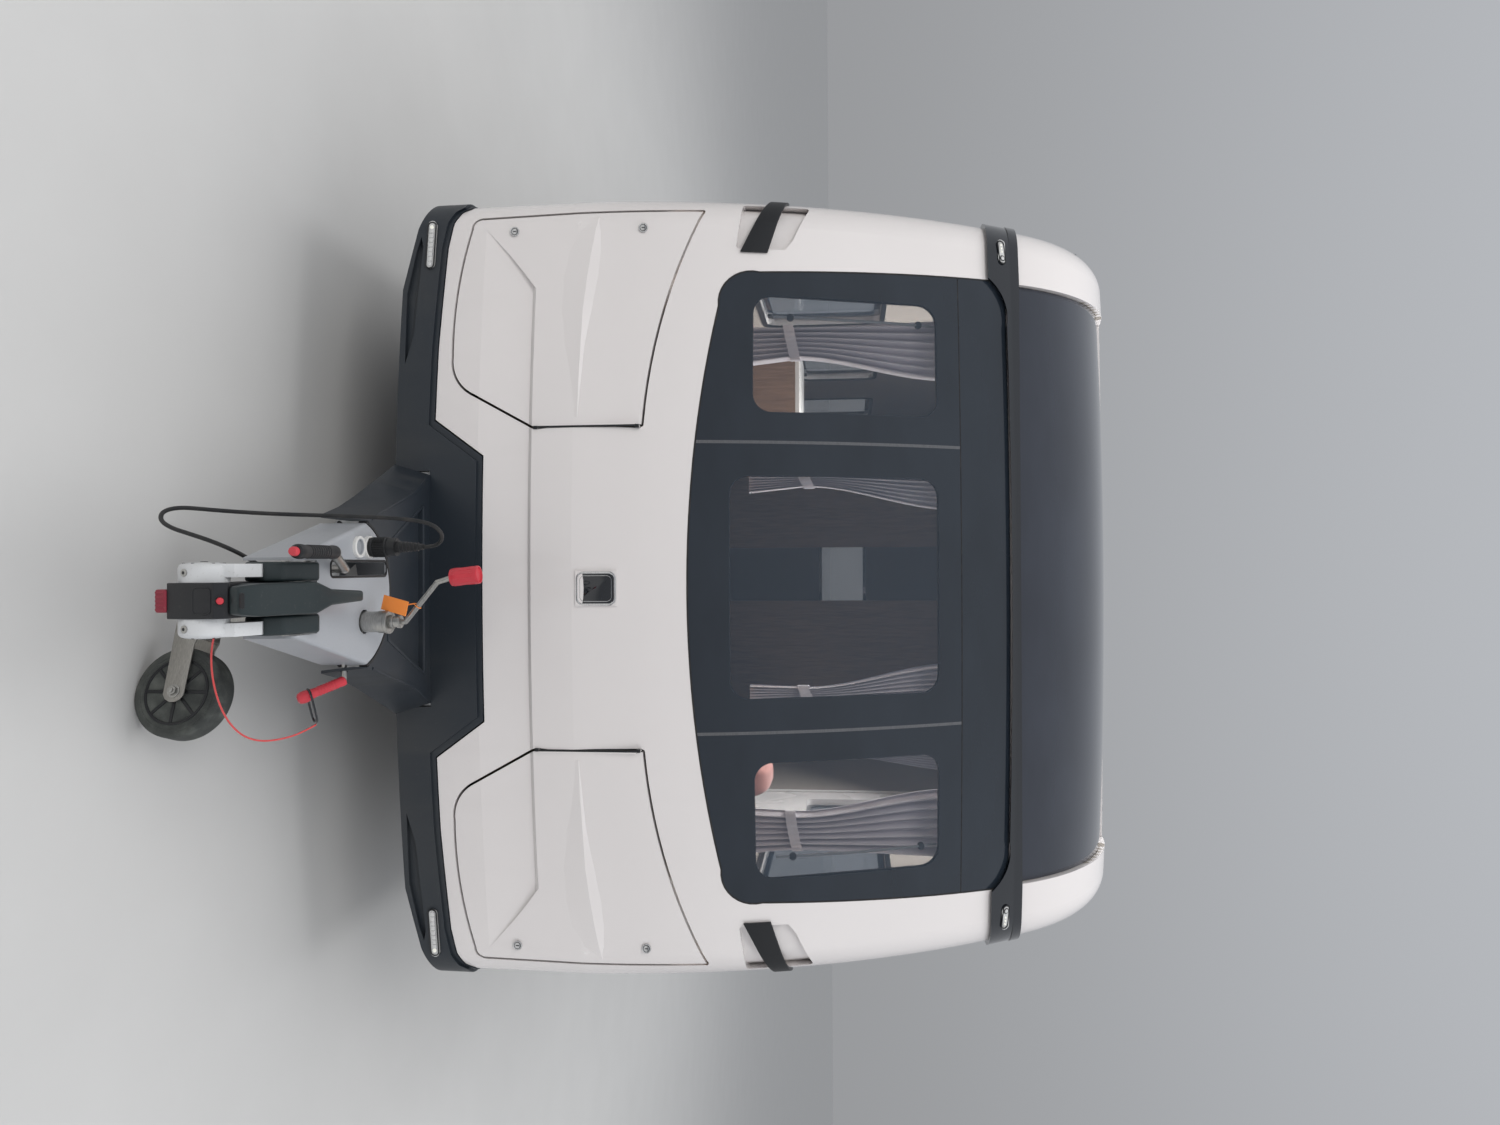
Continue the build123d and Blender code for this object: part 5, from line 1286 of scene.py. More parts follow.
    def coupling(self) -> None:
        """Pad screws, indicator button, dock ribs and hinge pin of the stabiliser head."""
        f = Form()
        for side in (-1, 1):
            f.disc(Vector((side * 0.0530, -3.4935, 0.388)), Vector((0, -1, -0.25)), 0.0075, 0.0030, 0.001,
                   24, 1)
            f.disc(Vector((side * 0.0530, -3.4962, 0.3873)), Vector((0, -1, -0.25)), 0.0035, 0.0006, 0.0002,
                   6, 2)
            out = Vector((side, 0, 0))
            at = Vector((side * 0.0706, -3.451, 0.399))
            f.ring(at, out, 0.0190, 0.0290, 0.0018, 0.0007, 44)
            f.disc(at, out, 0.0150, 0.0026, 0.0010, 36, 1)
            f.disc(at + out * 0.0026, out, 0.0068, 0.0014, 0.0005, 6, 2)
            for k in range(6):
                f.disc(at + spoke(k, 6) * 0.0345, out, 0.0028, 0.0012, 0.0004, 14, 2)
            f.disc(Vector((side * 0.0738, -3.330, 0.492)), out, 0.0085, 0.0022, 0.0008, 28, 1)
        f.ring(Vector((0.0, -3.4900, 0.4556)), Vector((0, -0.8, 0.6)), 0.0068, 0.0098, 0.0020, 0.0006, 32,
               2)
        for k in range(5):
            f.plate(Vector((-0.016 + 0.008 * k, -3.4972, 0.341)), RIGHT, UP, (0.0030, 0.0180), 0.001,
                    0.0016, 0.0006, 4)
        f.frame(Vector((0.0, -3.4990, 0.425)), RIGHT, UP, (0.050, 0.034), 0.008,
                half_round(0.003, 0.0014, 4, 0.0008), 2)
        f.plate(Vector((0.0, -3.4905, 0.5005)), RIGHT, Vector((0, -0.29, 0.957)), (0.030, 0.012), 0.004,
                0.002, 0.001, 2)
        self.put(f, "coupling_trim", ROOT, "cast_paint", "zinc_plate",
                "black_plastic", "signal_red", "dock_red")
        f = Form()
        f.lathe([(0.0066, -0.001), (0.0066, 0.0040), (0.0058, 0.0056), (0.0036, 0.0064), (0.0, 0.0066)],
                Vector((0.0, -3.4905, 0.4560)), Vector((0, -0.8, 0.6)), 32)
        self.put(f, "release_button", ROOT, "signal_red")

    def build(self) -> None:
        """Makes all small parts of the hitch."""
        self.plug()
        self.cover()
        self.fairing()
        self.handbrake()
        self.jockey()
        self.coupling()


@dataclass
class Softened(Trim):
    """Angular CAD nodes, each put in place again with its hard edges rounded."""

    # node, body, width of the rounding, finish
    table: tuple = (
        ("coupling_handle", ROOT, 0.0055, "green_black"), ("coupling_wings", ROOT, 0.0060, "green_black"),
        ("coupling_cheeks", ROOT, 0.0055, "cast_paint"), ("coupling", ROOT, 0.0035, "black_plastic"),
        ("coupling_dock", ROOT, 0.0040, "dock_red"), ("jockey_fork", "jockey_fork", 0.0009, "fork_plate"),
        ("grab_handles", ROOT, 0.0028, "black_plastic"), ("bumper_rear", ROOT, 0.0060, "anthracite"),
        ("key_tag", ROOT, 0.0008, "tag_orange"), ("service_hatches", ROOT, 0.0018, "white_plastic"),
        ("awning_rails", ROOT, 0.0010, "rail_alloy"),
    )

    def build(self) -> None:
        """Rounds every node of the table."""
        for node, body, width, finish in self.table:
            bm = bmesh.new()
            bm.from_mesh(NODES[node].data)
            bmesh.ops.remove_doubles(bm, verts=bm.verts, dist=2e-5)
            if node == "awning_rails":
                for v in bm.verts:
                    if v.co.z > 2.415:
                        v.co.y = max(v.co.y, -1.590)
            bmesh.ops.dissolve_limit(bm, angle_limit=math.radians(0.6), verts=bm.verts, edges=bm.edges)
            sharp = [e for e in bm.edges if len(e.link_faces) == 2
                     and e.calc_face_angle(0.0) > math.radians(24)]
            bmesh.ops.bevel(bm, geom=sharp, offset=width, segments=3, profile=0.5, affect="EDGES",
                            clamp_overlap=True)
            form = Form()
            form.bm.free()
            form.bm = bm
            self.put(form, f"{node}_soft", body, finish, smooth=38, stands_for=(node,))


@dataclass
class RunningGear(Trim):
    """Road tyres with sidewalls and tread, wheel bolts, centre caps and valves."""

    def tyre(self, name: str, side: int, body: str) -> None:
        """One tyre in the place of its plain ring."""
        at, axis = Vector((side * WHEEL_X, AXLE_Y, TYRE_R)), Vector((side, 0, 0))
        half = [(0.1850, 0.0780), (0.1885, 0.0835), (0.1960, 0.0880), (0.2010, 0.0902), (0.2060, 0.0898),
                (0.2090, 0.0910), (0.2200, 0.0920), (0.2225, 0.0932), (0.2265, 0.0932), (0.2290, 0.0924),
                (0.2570, 0.0938), (0.2720, 0.0922), (0.2745, 0.0930), (0.2790, 0.0926), (0.2815, 0.0902),
                (0.2950, 0.0842), (0.3060, 0.0762), (0.3130, 0.0690), (0.3150, 0.0580), (0.3168, 0.0300),
                (0.3172, 0.0)]
        profile = half + [(r, -h) for r, h in reversed(half[:-1])] + [half[0]]
        form = Form().lathe(profile, at, axis, 88)
        count = 56
        # left and right edge, shift along the row, lean of the blocks
        rows = ((-0.078, -0.054, 0.0, 0.006), (-0.048, -0.018, 0.5, 0.010), (-0.012, 0.012, 0.0, 0.0),
                (0.018, 0.048, 0.5, -0.010), (0.054, 0.078, 0.0, -0.006))
        for low, high, shift, lean in rows:
            drop = 0.0 if lean == 0.0 else 0.0008
            for k in range(count):
                a0 = math.tau * (k + shift) / count
                verts = []
                for h, tip in ((low, -1), (high, 1)):
                    for a in (a0 + 0.006 + lean * tip, a0 + math.tau / count - 0.010 + lean * tip):
                        edge = max(abs(h) - 0.05, 0.0)
                        for r in (0.3080 - edge * 0.2, 0.3243 - edge * 0.22 - drop):
                            d = Vector((0, math.cos(a), math.sin(a)))
                            verts.append(form.bm.verts.new(at + axis * h + d * r))
                a, b, c, d, e, f, g, i = verts
                for quad in ((b, d, i, f), (a, b, f, e), (c, g, i, d), (a, c, d, b), (e, f, i, g),
                             (a, e, g, c)):
                    form.bm.faces.new(quad)
        form._claim(0)
        for k in range(4):
            d = spoke(k, 4, turn=0.3)
            form.plate(at + d * 0.243 + axis * 0.0925, axis.cross(d), d, (0.060, 0.0022), 0.0, 0.0012,
                       0.0003)
        self.put(form, f"tyre_{name}_tread", body, "tyre_rubber", smooth=32, stands_for=(f"tyre_{name}",))

    def wheel(self, name: str, side: int, body: str) -> None:
        """Bolts, cap, valve, rim rings and seven raised ribs on the face of one wheel."""
        axis = Vector((side, 0, 0))
        face = Vector((side * (WHEEL_X + 0.050), AXLE_Y, TYRE_R))
        f = Form()
        f.disc(face, axis, 0.0300, 0.0130, 0.0040, 44)
        f.ring(face, axis, 0.0310, 0.0345, 0.0050, 0.0012, 48, 1)
        f.ring(face + axis * 0.0130, axis, 0.0200, 0.0225, 0.0010, 0.0004, 40, 1)
        for k in range(5):
            d = spoke(k, 5, turn=0.2)
            f.ring(face + d * 0.0490, axis, 0.0092, 0.0125, 0.0012, 0.0005, 26)
            f.disc(face + d * 0.0490, axis, 0.0088, 0.0110, 0.0018, 6, 1)
        rim = Vector((side * (WHEEL_X + 0.0700), AXLE_Y, TYRE_R))
        f.ring(rim, axis, 0.1775, 0.1850, 0.0022, 0.0010, 88, 1)
        f.ring(face, axis, 0.1560, 0.1600, 0.0020, 0.0008, 88, 1)
        for k in range(7):
            d = spoke(k + 0.5, 7)
            f.plate(face + d * 0.110 - axis * 0.0006, axis.cross(d), d, (0.012, 0.076), 0.004, 0.0044,
                    0.0020)
        d = spoke(0, 1, turn=2.0)
        f.tube([face + d * 0.150 + axis * 0.002, face + d * 0.146 + axis * 0.018,
                face + d * 0.143 + axis * 0.026], [0.0036, 0.0030, 0.0036], 14, 2)
        self.put(f, f"wheel_trim_{name}", body, "rim_alloy", "chrome_trim",
                "black_plastic")

    def under(self) -> None:
        """Brake rod, cables to the drums and the bolts of the axle's plates."""
        f = Form()
        f.tube([Vector((0, -2.98, 0.352)), Vector((0, -1.2, 0.352)), Vector((0, 0.33, 0.352))], 0.0045, 12)
        f.plate(Vector((0, 0.345, 0.352)), RIGHT, UP, (0.150, 0.030), 0.008, 0.006, 0.001)
        for side in (-1, 1):
            f.tube([Vector((side * 0.060, 0.345, 0.352)), Vector((side * 0.30, 0.42, 0.330)),
                    Vector((side * 0.62, 0.60, 0.322)), Vector((side * (WHEEL_X - 0.180), 0.640, 0.345))],
                   0.0050, 10, 1)
            for y, z in ((0.430, 0.395), (0.520, 0.395), (0.430, 0.318), (0.520, 0.318)):
                f.disc(Vector((side * 0.517, y, z)), Vector((side, 0, 0)), 0.0080, 0.0080, 0.001, 6)
            for y in (-1.2, 1.5, 2.7):
                for x in (0.56, 0.66):
                    f.disc(Vector((side * x, y, 0.370)), DOWN, 0.0080, 0.0060, 0.001, 6)
        self.put(f, "under_gear", ROOT, "zinc_plate", "cable_rubber")

    def build(self) -> None:
        """Makes both tyres, both wheels' trim and the gear under the floor."""
        for name, side in (("off", -1), ("near", 1)):
            body = f"wheel_{name}_side"
            self.tyre(name, side, body)
            self.wheel(name, side, body)
        self.under()


@dataclass
class SideTrim(Trim):
    """Frames, hinges, vents, seals and trims on the sides, the rear and the roof."""

    def surround(self, f: Form, at: Vector, right: Vector, width: float, height: float) -> None:
        """A rubber frame, a bead on the pane and a hinge strip along the top of one window."""
        out = right.cross(UP)
        f.frame(at, right, UP, (width + 0.006, height + 0.006), 0.073, half_round(0.010, 0.0055, 5, 0.001))
        f.frame(at + out * 0.0138, right, UP, (width - 0.010, height - 0.010), 0.066,
                half_round(0.006, 0.0012, 4, 0.0006))
        ends = (0.085 - width / 2, width / 2 - 0.085)
        f.ribbon([at + out * 0.004 + right * a + UP * (height / 2 + 0.004) for a in ends], [out] * 2,
                 half_round(0.016, 0.012, 6, 0.002), False, 1)

    def windows(self) -> None:
        """Surrounds, inner blinds and catches of the side windows, and the rear window's surround."""
        f = Form()
        table = ((-1, -1.830, -0.760, 1.240, 1.800), (-1, -0.420, 0.560, 1.330, 1.800),
                 (-1, 1.180, 2.120, 1.240, 1.800), (-1, 2.620, 3.020, 1.440, 1.800),
                 (1, -1.830, -0.760, 1.240, 1.800), (1, 1.050, 2.120, 1.240, 1.800))
        for side, y0, y1, z0, z1 in table:
            right, width, height = Vector((0, side, 0)), y1 - y0, z1 - z0
            at = Vector((side * SIDE_X, (y0 + y1) / 2, (z0 + z1) / 2))
            self.surround(f, at, right, width, height)
            inner = Vector((side * (SIDE_X - 0.034), at.y, at.z))
            f.frame(inner, right, UP, (width - 0.050, height - 0.050), 0.05,
                    box_section(0.020, -0.002, 0.006), 1)
            for k in (-1, 1):
                f.plate(Vector((side * (SIDE_X - 0.040), at.y + k * width * 0.28, z0 + 0.060)), right, UP,
                        (0.050, 0.018), 0.006, 0.008, 0.002, 1)
        self.surround(f, Vector((0, REAR_Y, 1.565)), LEFT, 1.040, 0.470)
        self.put(f, "window_frames", ROOT, "seal_rubber", "black_plastic")

    def arches(self) -> None:
        """A rounded trim round each wheel arch and a rail along each skirt."""
        f = Form()
        for side in (-1, 1):
            out = Vector((side, 0, 0))
            line = [(AXLE_Y + 0.391 * math.cos(a), 0.325 + 0.391 * math.sin(a))
                    for a in [math.radians(11.0 + 158.0 * k / 44) for k in range(45)]]
            f.ribbon([Vector((side * SIDE_X, y, z)) for y, z in line], [out] * 45,
                     half_round(0.026, 0.009, 6, 0.001))
            for a, b in ((-2.14, AXLE_Y - 0.41), (AXLE_Y + 0.41, 3.30)):
                pts = [Vector((side * SIDE_X, y, 0.412)) for y in evenly(a, b, 10)]
                f.ribbon(pts, [out] * len(pts), [(-0.015, -0.001), (-0.015, 0.003), (-0.010, 0.005),
                                                 (0.010, 0.005), (0.015, 0.003), (0.015, -0.001)], False, 1)
                pts = [Vector((side * SIDE_X, y, 0.560)) for y in evenly(a + 0.04, b - 0.02, 10)]
                f.ribbon(pts, [out] * len(pts), half_round(0.006, 0.0022, 4, 0.0008), False, 2)
            for y in (-1.95, -0.10 if side < 0 else 0.12, 2.45):
                at, right = Vector((side * SIDE_X, y, 0.480)), Vector((0, side, 0))
                f.plate(at, right, UP, (0.074, 0.030), 0.006, 0.0070, 0.002, 3)
                f.plate(at, right, UP, (0.080, 0.036), 0.007, 0.0040, 0.001)
        self.put(f, "arch_trim", ROOT, "black_plastic", "rail_alloy",
                "silver_plastic", "amber_lens")

    def rails(self) -> None:
        """The bead channel of each awning rail and its screws."""
        f = Form()
        for side in (-1, 1):
            out = Vector((side, 0, 0))
            x = side * (SIDE_X + 0.007)
            for pts in ([Vector((x, y, 2.427)) for y in evenly(-1.575, 3.32, 24)],
                        [Vector((x, 3.328, z)) for z in evenly(0.42, 2.40, 12)]):
                f.ribbon(pts, [out] * len(pts), half_round(0.0080, 0.0022, 5, 0.0006))
            for y in [-1.50 + 0.40 * k for k in range(13)]:
                f.disc(Vector((side * (SIDE_X + 0.0068), y, 2.4210)), out, 0.0030, 0.0010, 0.0004, 14, 1)
        self.put(f, "rail_beads", ROOT, "seal_rubber", "zinc_plate")

    def hatches(self) -> None:
        """Louvres, frames and round locks of the service hatches."""
        f = Form()
        table = ((-1, 2.620, 3.000, 0.520, 0.860, "door"), (-1, 0.640, 1.010, 0.900, 1.090, "vent"),
                 (-1, 0.640, 1.010, 1.560, 1.750, "vent"), (-1, -0.240, 0.060, 0.620, 0.840, "door"),
                 (1, 2.100, 2.420, 0.560, 0.900, "door"), (1, -1.500, -1.200, 0.620, 0.780, "door"))
        for side, y0, y1, z0, z1, kind in table:
            right, out = Vector((0, side, 0)), Vector((side, 0, 0))
            at = Vector((side * (SIDE_X + 0.005), (y0 + y1) / 2, (z0 + z1) / 2))
            w, h = y1 - y0, z1 - z0
            f.frame(at, right, UP, (w - 0.008, h - 0.008), 0.012, half_round(0.007, 0.0020, 5, 0.0008))
            f.frame(at, right, UP, (w - 0.036, h - 0.036), 0.009, half_round(0.0026, 0.0007, 4, 0.0006), 1)
            if kind == "vent":
                count = int((h - 0.05) / 0.016)
                for k in range(count):
                    z = -h / 2 + 0.030 + k * 0.016
                    f.ribbon([at + right * a + UP * z for a in (-w / 2 + 0.03, 0.0, w / 2 - 0.03)],
                             [out] * 3, [(-0.006, -0.0005), (-0.006, 0.0008), (0.003, 0.0052),
                                         (0.006, 0.0046), (0.006, -0.0005)])
            else:
                for k in (-1, 1):
                    lock = at + right * (k * (w / 2 - 0.040)) + UP * (h / 2 - 0.034)
                    f.disc(lock, out, 0.0105, 0.0036, 0.0012, 30)
                    f.disc(lock + out * 0.0036, out, 0.0050, 0.0008, 0.0003, 20, 1)
                    f.ribbon([at + right * (k * w * 0.28 + d) + UP * (-h / 2 + 0.014)
                              for d in (-0.02, 0.02)], [out] * 2, half_round(0.010, 0.0048, 5, 0.0006))
        self.put(f, "hatch_details", ROOT, "white_plastic", "black_plastic")

    def door(self) -> None:
        """Door seal, window frame, lever, lock, hinge pins and a raised frame on the door's lower half."""
        f = Form()
        mid = Vector((SIDE_X, -0.255, 1.370))
        f.frame(mid, BACK, UP, (0.602, 1.792), 0.044, half_round(0.007, 0.0020, 5, 0.0012))
        pane = Vector((SIDE_X + 0.0088, -0.255, 1.730))
        f.frame(pane - RIGHT * 0.0088, BACK, UP, (0.386, 0.706), 0.063, half_round(0.009, 0.0050, 5, 0.001))
        f.frame(pane, BACK, UP, (0.366, 0.686), 0.055, half_round(0.004, 0.0010, 4, 0.0005))
        f.frame(mid + Vector((0, 0, -0.50)), BACK, UP, (0.46, 0.62), 0.03,
                half_round(0.010, 0.0016, 5, 0.001), 3)
        for z in (0.640, 1.370, 2.100):
            pin = Vector((SIDE_X + 0.009, -0.563, z))
            f.tube([pin - UP * 0.040, pin + UP * 0.040], 0.0064, 18, 1)
            for k in (-1, 1):
                f.disc(Vector((SIDE_X + 0.009, -0.532, z + 0.018 * k)), RIGHT, 0.0042, 0.0014, 0.0005, 18,
                       1)
        at = Vector((SIDE_X + 0.0218, -0.035, 1.245))
        f.plate(at + Vector((0, 0, 0.014)), BACK, UP, (0.066, 0.040), 0.010, 0.0030, 0.0012, 2)
        f.disc(at + Vector((0, 0.006, -0.034)), RIGHT, 0.0085, 0.0024, 0.0008, 28, 1)
        f.plate(at + Vector((0.0022, 0.006, -0.034)), BACK, UP, (0.0020, 0.0085), 0.0, 0.0005, 0.0, 2)
        self.put(f, "door_details", "entrance_door", "seal_rubber", "chrome_trim",
                "black_plastic", "side_skin")
        g = Form()
        frame_at = Vector((SIDE_X - 0.0325, -0.255, 1.370))
        g.frame(frame_at, BACK, UP, (0.650, 1.840), 0.050, box_section(0.028, -0.004, 0.0015))
        g.plate(Vector((SIDE_X - 0.010, -0.255, 0.4628)), BACK, LEFT, (0.600, 0.034), 0.004, 0.0016, 0.0006,
                1)
        self.put(g, "door_frame_trim", ROOT, "white_plastic", "rail_alloy")

    def rear(self) -> None:
        """Lamp segments, bumper reflectors, a high brake light, grab handles and panel trims."""
        f = Form()
        skin = Skin("rear_lamps")
        for side in (-1, 1):
            for z, h, slot in ((0.720, 0.130, 0), (0.860, 0.120, 1), (0.990, 0.110, 2), (1.105, 0.100, 0)):
                x = side * 1.005
                hit, _, _, _ = skin.tree.ray_cast(Vector((x, 5.0, z)), FORWARD)
                y = hit.y if hit is not None else REAR_Y
                at = Vector((x, y - 0.001, z))
                f.plate(at, LEFT, UP, (0.112, h), 0.016, 0.0060, 0.0024, slot)
                f.frame(at, LEFT, UP, (0.118, h + 0.006), 0.018, half_round(0.004, 0.0030, 4, 0.001), 3)
                f.disc(at + BACK * 0.0058, BACK, 0.030, 0.0030, 0.0012, 36, slot)
                f.disc(at + BACK * 0.0085, BACK, 0.012, 0.0024, 0.0012, 24, 2)
        f.plate(Vector((0, REAR_Y, 2.250)), LEFT, UP, (0.46, 0.030), 0.012, 0.012, 0.003)
        f.frame(Vector((0, REAR_Y, 2.250)), LEFT, UP, (0.472, 0.042), 0.016,
                half_round(0.008, 0.005, 5, 0.001), 3)
        bumper_y = 3.4995
        triangle = [(-0.070, -0.033), (0.070, -0.033), (0.0, 0.0341)]
        handle = ((-0.002, 0.700), (0.018, 0.716), (0.022, 0.780), (0.022, 1.000), (0.018, 1.064),
                  (-0.002, 1.080))
        for side in (-1, 1):
            f.prism(triangle, Vector((side * 0.80, bumper_y, 0.430)), LEFT, BACK, 0.0016, 0.0006)
            bar = [Vector((side * 0.780, REAR_Y + out, z)) for out, z in handle]
            f.tube(bar, [0.013, 0.012, 0.0105, 0.0105, 0.012, 0.013], 18, 3)
        for z in (0.620, 1.230):
            pts = [Vector((x, REAR_Y, z)) for x in evenly(1.02, -1.02, 12)]
            f.ribbon(pts, [BACK] * len(pts), half_round(0.008, 0.0024, 5, 0.001), False, 4)
        self.put(f, "rear_details", ROOT, "red_lens", "amber_lens", "clear_lens",
                "black_plastic", "silver_plastic")

    def top(self) -> None:
        """Rooflight frames, hinges and struts, and the seam strips across the roof."""
        f = Form()
        for x, y, length, width in ((0.0, -0.700, 0.620, 0.480), (0.0, 0.700, 0.400, 0.400),
                                    (0.300, 2.800, 0.400, 0.400)):
            at = Vector((x, y, ROOF_Z))
            f.frame(at, RIGHT, BACK, (width + 0.008, length + 0.008), 0.052,
                    box_section(0.040, -0.001, 0.007))
            f.frame(at + UP * 0.0200, RIGHT, BACK, (width + 0.002, length + 0.002), 0.051,
                    half_round(0.010, 0.0036, 5, 0.002))
            f.frame(at + UP * 0.0592, RIGHT, BACK, (width - 0.110, length - 0.110), 0.030,
                    half_round(0.012, 0.0030, 5, 0.001), 1)
            for k in (-1, 1):
                f.plate(at + Vector((k * width * 0.3, -length / 2 - 0.006, 0.010)), RIGHT, UP,
                        (0.050, 0.024), 0.006, 0.006, 0.002)
                f.disc(at + Vector((k * (width / 2 - 0.030), length / 2 - 0.030, 0.0560)), UP, 0.008, 0.003,
                       0.001, 20)
        for y in (-1.150, 0.30, 1.90, 3.325):
            pts = [Vector((x, y, ROOF_Z)) for x in evenly(-1.03, 1.03, 16)]
            f.ribbon(pts, [UP] * len(pts), [(-0.014, -0.001), (-0.012, 0.0022), (0.012, 0.0022),
                                            (0.014, -0.001)], False, 2)
        self.put(f, "roof_details", ROOT, "white_plastic", "dome_acrylic", "side_skin")

    def steadies(self) -> None:
        """Drive nuts, pivot caps and foot ribs of the four steadies."""
        for end, y, back in (("front", -2.150, 1), ("rear", 3.180, -1)):
            for name, side in (("off", -1), ("near", 1)):
                f = Form()
                x = side * 0.600
                for way in (-1, 1):
                    f.disc(Vector((x + way * 0.0277, y, 0.392)), Vector((way, 0, 0)), 0.0060, 0.0030, 0.001,
                           20)
                tip = y + back * 0.388
                for k in range(4):
                    f.plate(Vector((x - 0.03 + 0.02 * k, tip - back * 0.0002, 0.387)),
                            Vector((back * -1.0, 0, 0)), UP, (0.004, 0.056), 0.0, 0.0030, 0.0006, 1)
                self.put(f, f"steady_caps_{end}_{name}", f"steady_{end}_{name}", "zinc_plate",
                        "black_plastic")

    def build(self) -> None:
        """Makes all trim of the sides, the rear and the roof."""
        self.windows()
        self.arches()
        self.rails()
        self.hatches()
        self.door()
        self.rear()
        self.top()
        self.steadies()


@dataclass
class Cabin(Trim):
    """Cushions, backrests and cupboard fronts that show through the glass."""

    def cushions(self) -> None:
        """Seat cushions in the place of the solid blocks, and backrests behind them."""
        seats = Form()
        for side in (-1, 1):
            low, high = sorted((side * 0.4255, side * 1.1225))
            seats.pad(Vector((low, -1.8395, 0.8025)),
                      Vector((high, -0.6105 if side < 0 else -0.6305, 0.9315)), 0.13, 0.34, 30, 96)
        seat = self.put(seats, "seat_pads", ROOT, "seat_cloth", smooth=70, stands_for=("seat_cushions",))
        for side in (-1, 1):
            form = Form()
            low, high = sorted((side * 0.955, side * 1.118))
            form.pad(Vector((low, -1.800, 0.930)), Vector((high, -0.680, 1.225)), 0.20, 0.45, 24, 80)
            back = self.put(form, f"back_pad_{'off' if side < 0 else 'near'}", ROOT, "seat_cloth",
                            smooth=70)
        for k, (x, y) in enumerate(((-0.90, -1.62), (0.90, -1.60), (0.86, -0.86))):
            form = Form()
            form.pad(Vector((x - 0.085, y - 0.20, 0.930)), Vector((x + 0.065, y + 0.20, 1.290)), 0.42, 0.62,
                     24, 64)
            scatter = self.put(form, f"scatter_pad_{k}", ROOT, "scatter_cloth", smooth=70)

    def cupboards(self) -> None:
        """Drawer fronts on the chest, doors on the kitchen block and pull knobs."""
        f = Form()
        for k in range(3):
            z = 0.560 + 0.178 * k
            f.plate(Vector((0, -1.900, z)), LEFT, UP, (0.56, 0.160), 0.006, 0.014, 0.003)
            f.disc(Vector((0, -1.886, z)), BACK, 0.012, 0.016, 0.004, 24, 1)
        for k in range(2):
            at = Vector((-0.560, -0.255 + 0.232 * k, 0.860))
            f.plate(at, BACK, UP, (0.215, 0.760), 0.008, 0.014, 0.003)
            f.disc(at + Vector((0.014, 0.07 - 0.14 * k, 0.22)), RIGHT, 0.010, 0.014, 0.003, 20, 1)
        f.plate(Vector((-0.840, -0.140, 1.372)), RIGHT, BACK, (0.56, 0.48), 0.02, 0.022, 0.006, 2)
        f.plate(Vector((0, -2.035, 1.032)), RIGHT, BACK, (0.62, 0.28), 0.02, 0.018, 0.006)
        self.put(f, "cupboard_fronts", ROOT, "cabin_board", "chrome_trim",
                "white_plastic")

    def build(self) -> None:
        """Makes everything inside."""
        self.cushions()
        self.cupboards()


@dataclass
class Curtains(Trim):
    """Pleated curtains gathered beside each front pane, each a cloth of constant width."""

    # name, left and right at the top, left and right at the tie, height of the tie, foot
    table: tuple = (
        ("off", (-0.820, -0.632), (-0.820, -0.716), 1.450, 1.285, 0.62),
        ("centre_off", (-0.341, -0.229), (-0.345, -0.307), 1.494, 1.317, 0.42),
        ("centre_near", (0.238, 0.355), (0.317, 0.357), 1.494, 1.317, 0.42),
        ("near_inner", (0.511, 0.570), (0.511, 0.536), 1.620, 1.390, 0.30),
        ("near", (0.634, 0.844), (0.721, 0.836), 1.450, 1.285, 0.70),
    )
    top: float = 1.950

    def pleated(self, width: float, span: float, pleats: int, count: int, phase: float) -> list[Pair]:
        """Points of one row: a wave whose length along the cloth is its width.

        Args:
            width: the cloth's cut width.
            span: the row's width from end to end.
            pleats: waves in the row.
            count: points in the row.
            phase: shift of the wave.

        Returns:
            (along, depth) pairs.
        """
        def row(depth: float) -> list[Pair]:
            return [(span * i / (count - 1), depth * math.sin(math.tau * pleats * i / (count - 1) + phase)
                     * (0.82 + 0.18 * math.cos(5.1 * i / (count - 1) + phase))) for i in range(count)]

        low, high = 0.0, 0.09
        for _ in range(22):
            mid = (low + high) / 2
            pts = row(mid)
            length = sum(math.dist(a, b) for a, b in zip(pts, pts[1:]))
            low, high = (mid, high) if length < width else (low, mid)
        return row((low + high) / 2)

    def build(self) -> None:
        """Makes every curtain."""
        for name, (t0, t1), (b0, b1), tie_z, foot_z, width in self.table:
            y = nose_y(max(abs(t0), abs(t1)), self.top) + 0.058
            rows = []
            for j in range(31):
                z = self.top + (foot_z - self.top) * j / 30
                fall = min(1.0, (self.top - z) / (self.top - tie_z))
                ease = fall * fall * (3 - 2 * fall)
                left, right = t0 + (b0 - t0) * ease, t1 + (b1 - t1) * ease
                if z < tie_z:
                    flare = (tie_z - z) / (tie_z - foot_z) * 0.018
                    left, right = left - flare * 0.4, right + flare
                pts = self.pleated(width, right - left, 7, 97, 0.7 * fall)
                rows.append([Vector((left + a, y + 0.02 * ease + d, z)) for a, d in pts])
            form = Form().grid(rows)
            curtain = self.put(form, f"curtain_{name}", ROOT, "curtain_cloth", smooth=180)
            tie = Form()
            mid, half = (b0 + b1) / 2, (b1 - b0) / 2 + 0.004
            outward = [spoke(k, 28, RIGHT, BACK) for k in range(28)]
            loop = [Vector((mid + half * d.x, y + 0.02 + 0.040 * d.y, tie_z + 0.012 * d.x))
                    for d in outward]
            tie.ribbon(loop, outward, [(-0.016, 0.0), (0.016, 0.0), (0.016, 0.0022), (-0.016, 0.0022)],
                       closed=True)
            self.put(tie, f"curtain_tie_{name}", ROOT, "curtain_cloth")


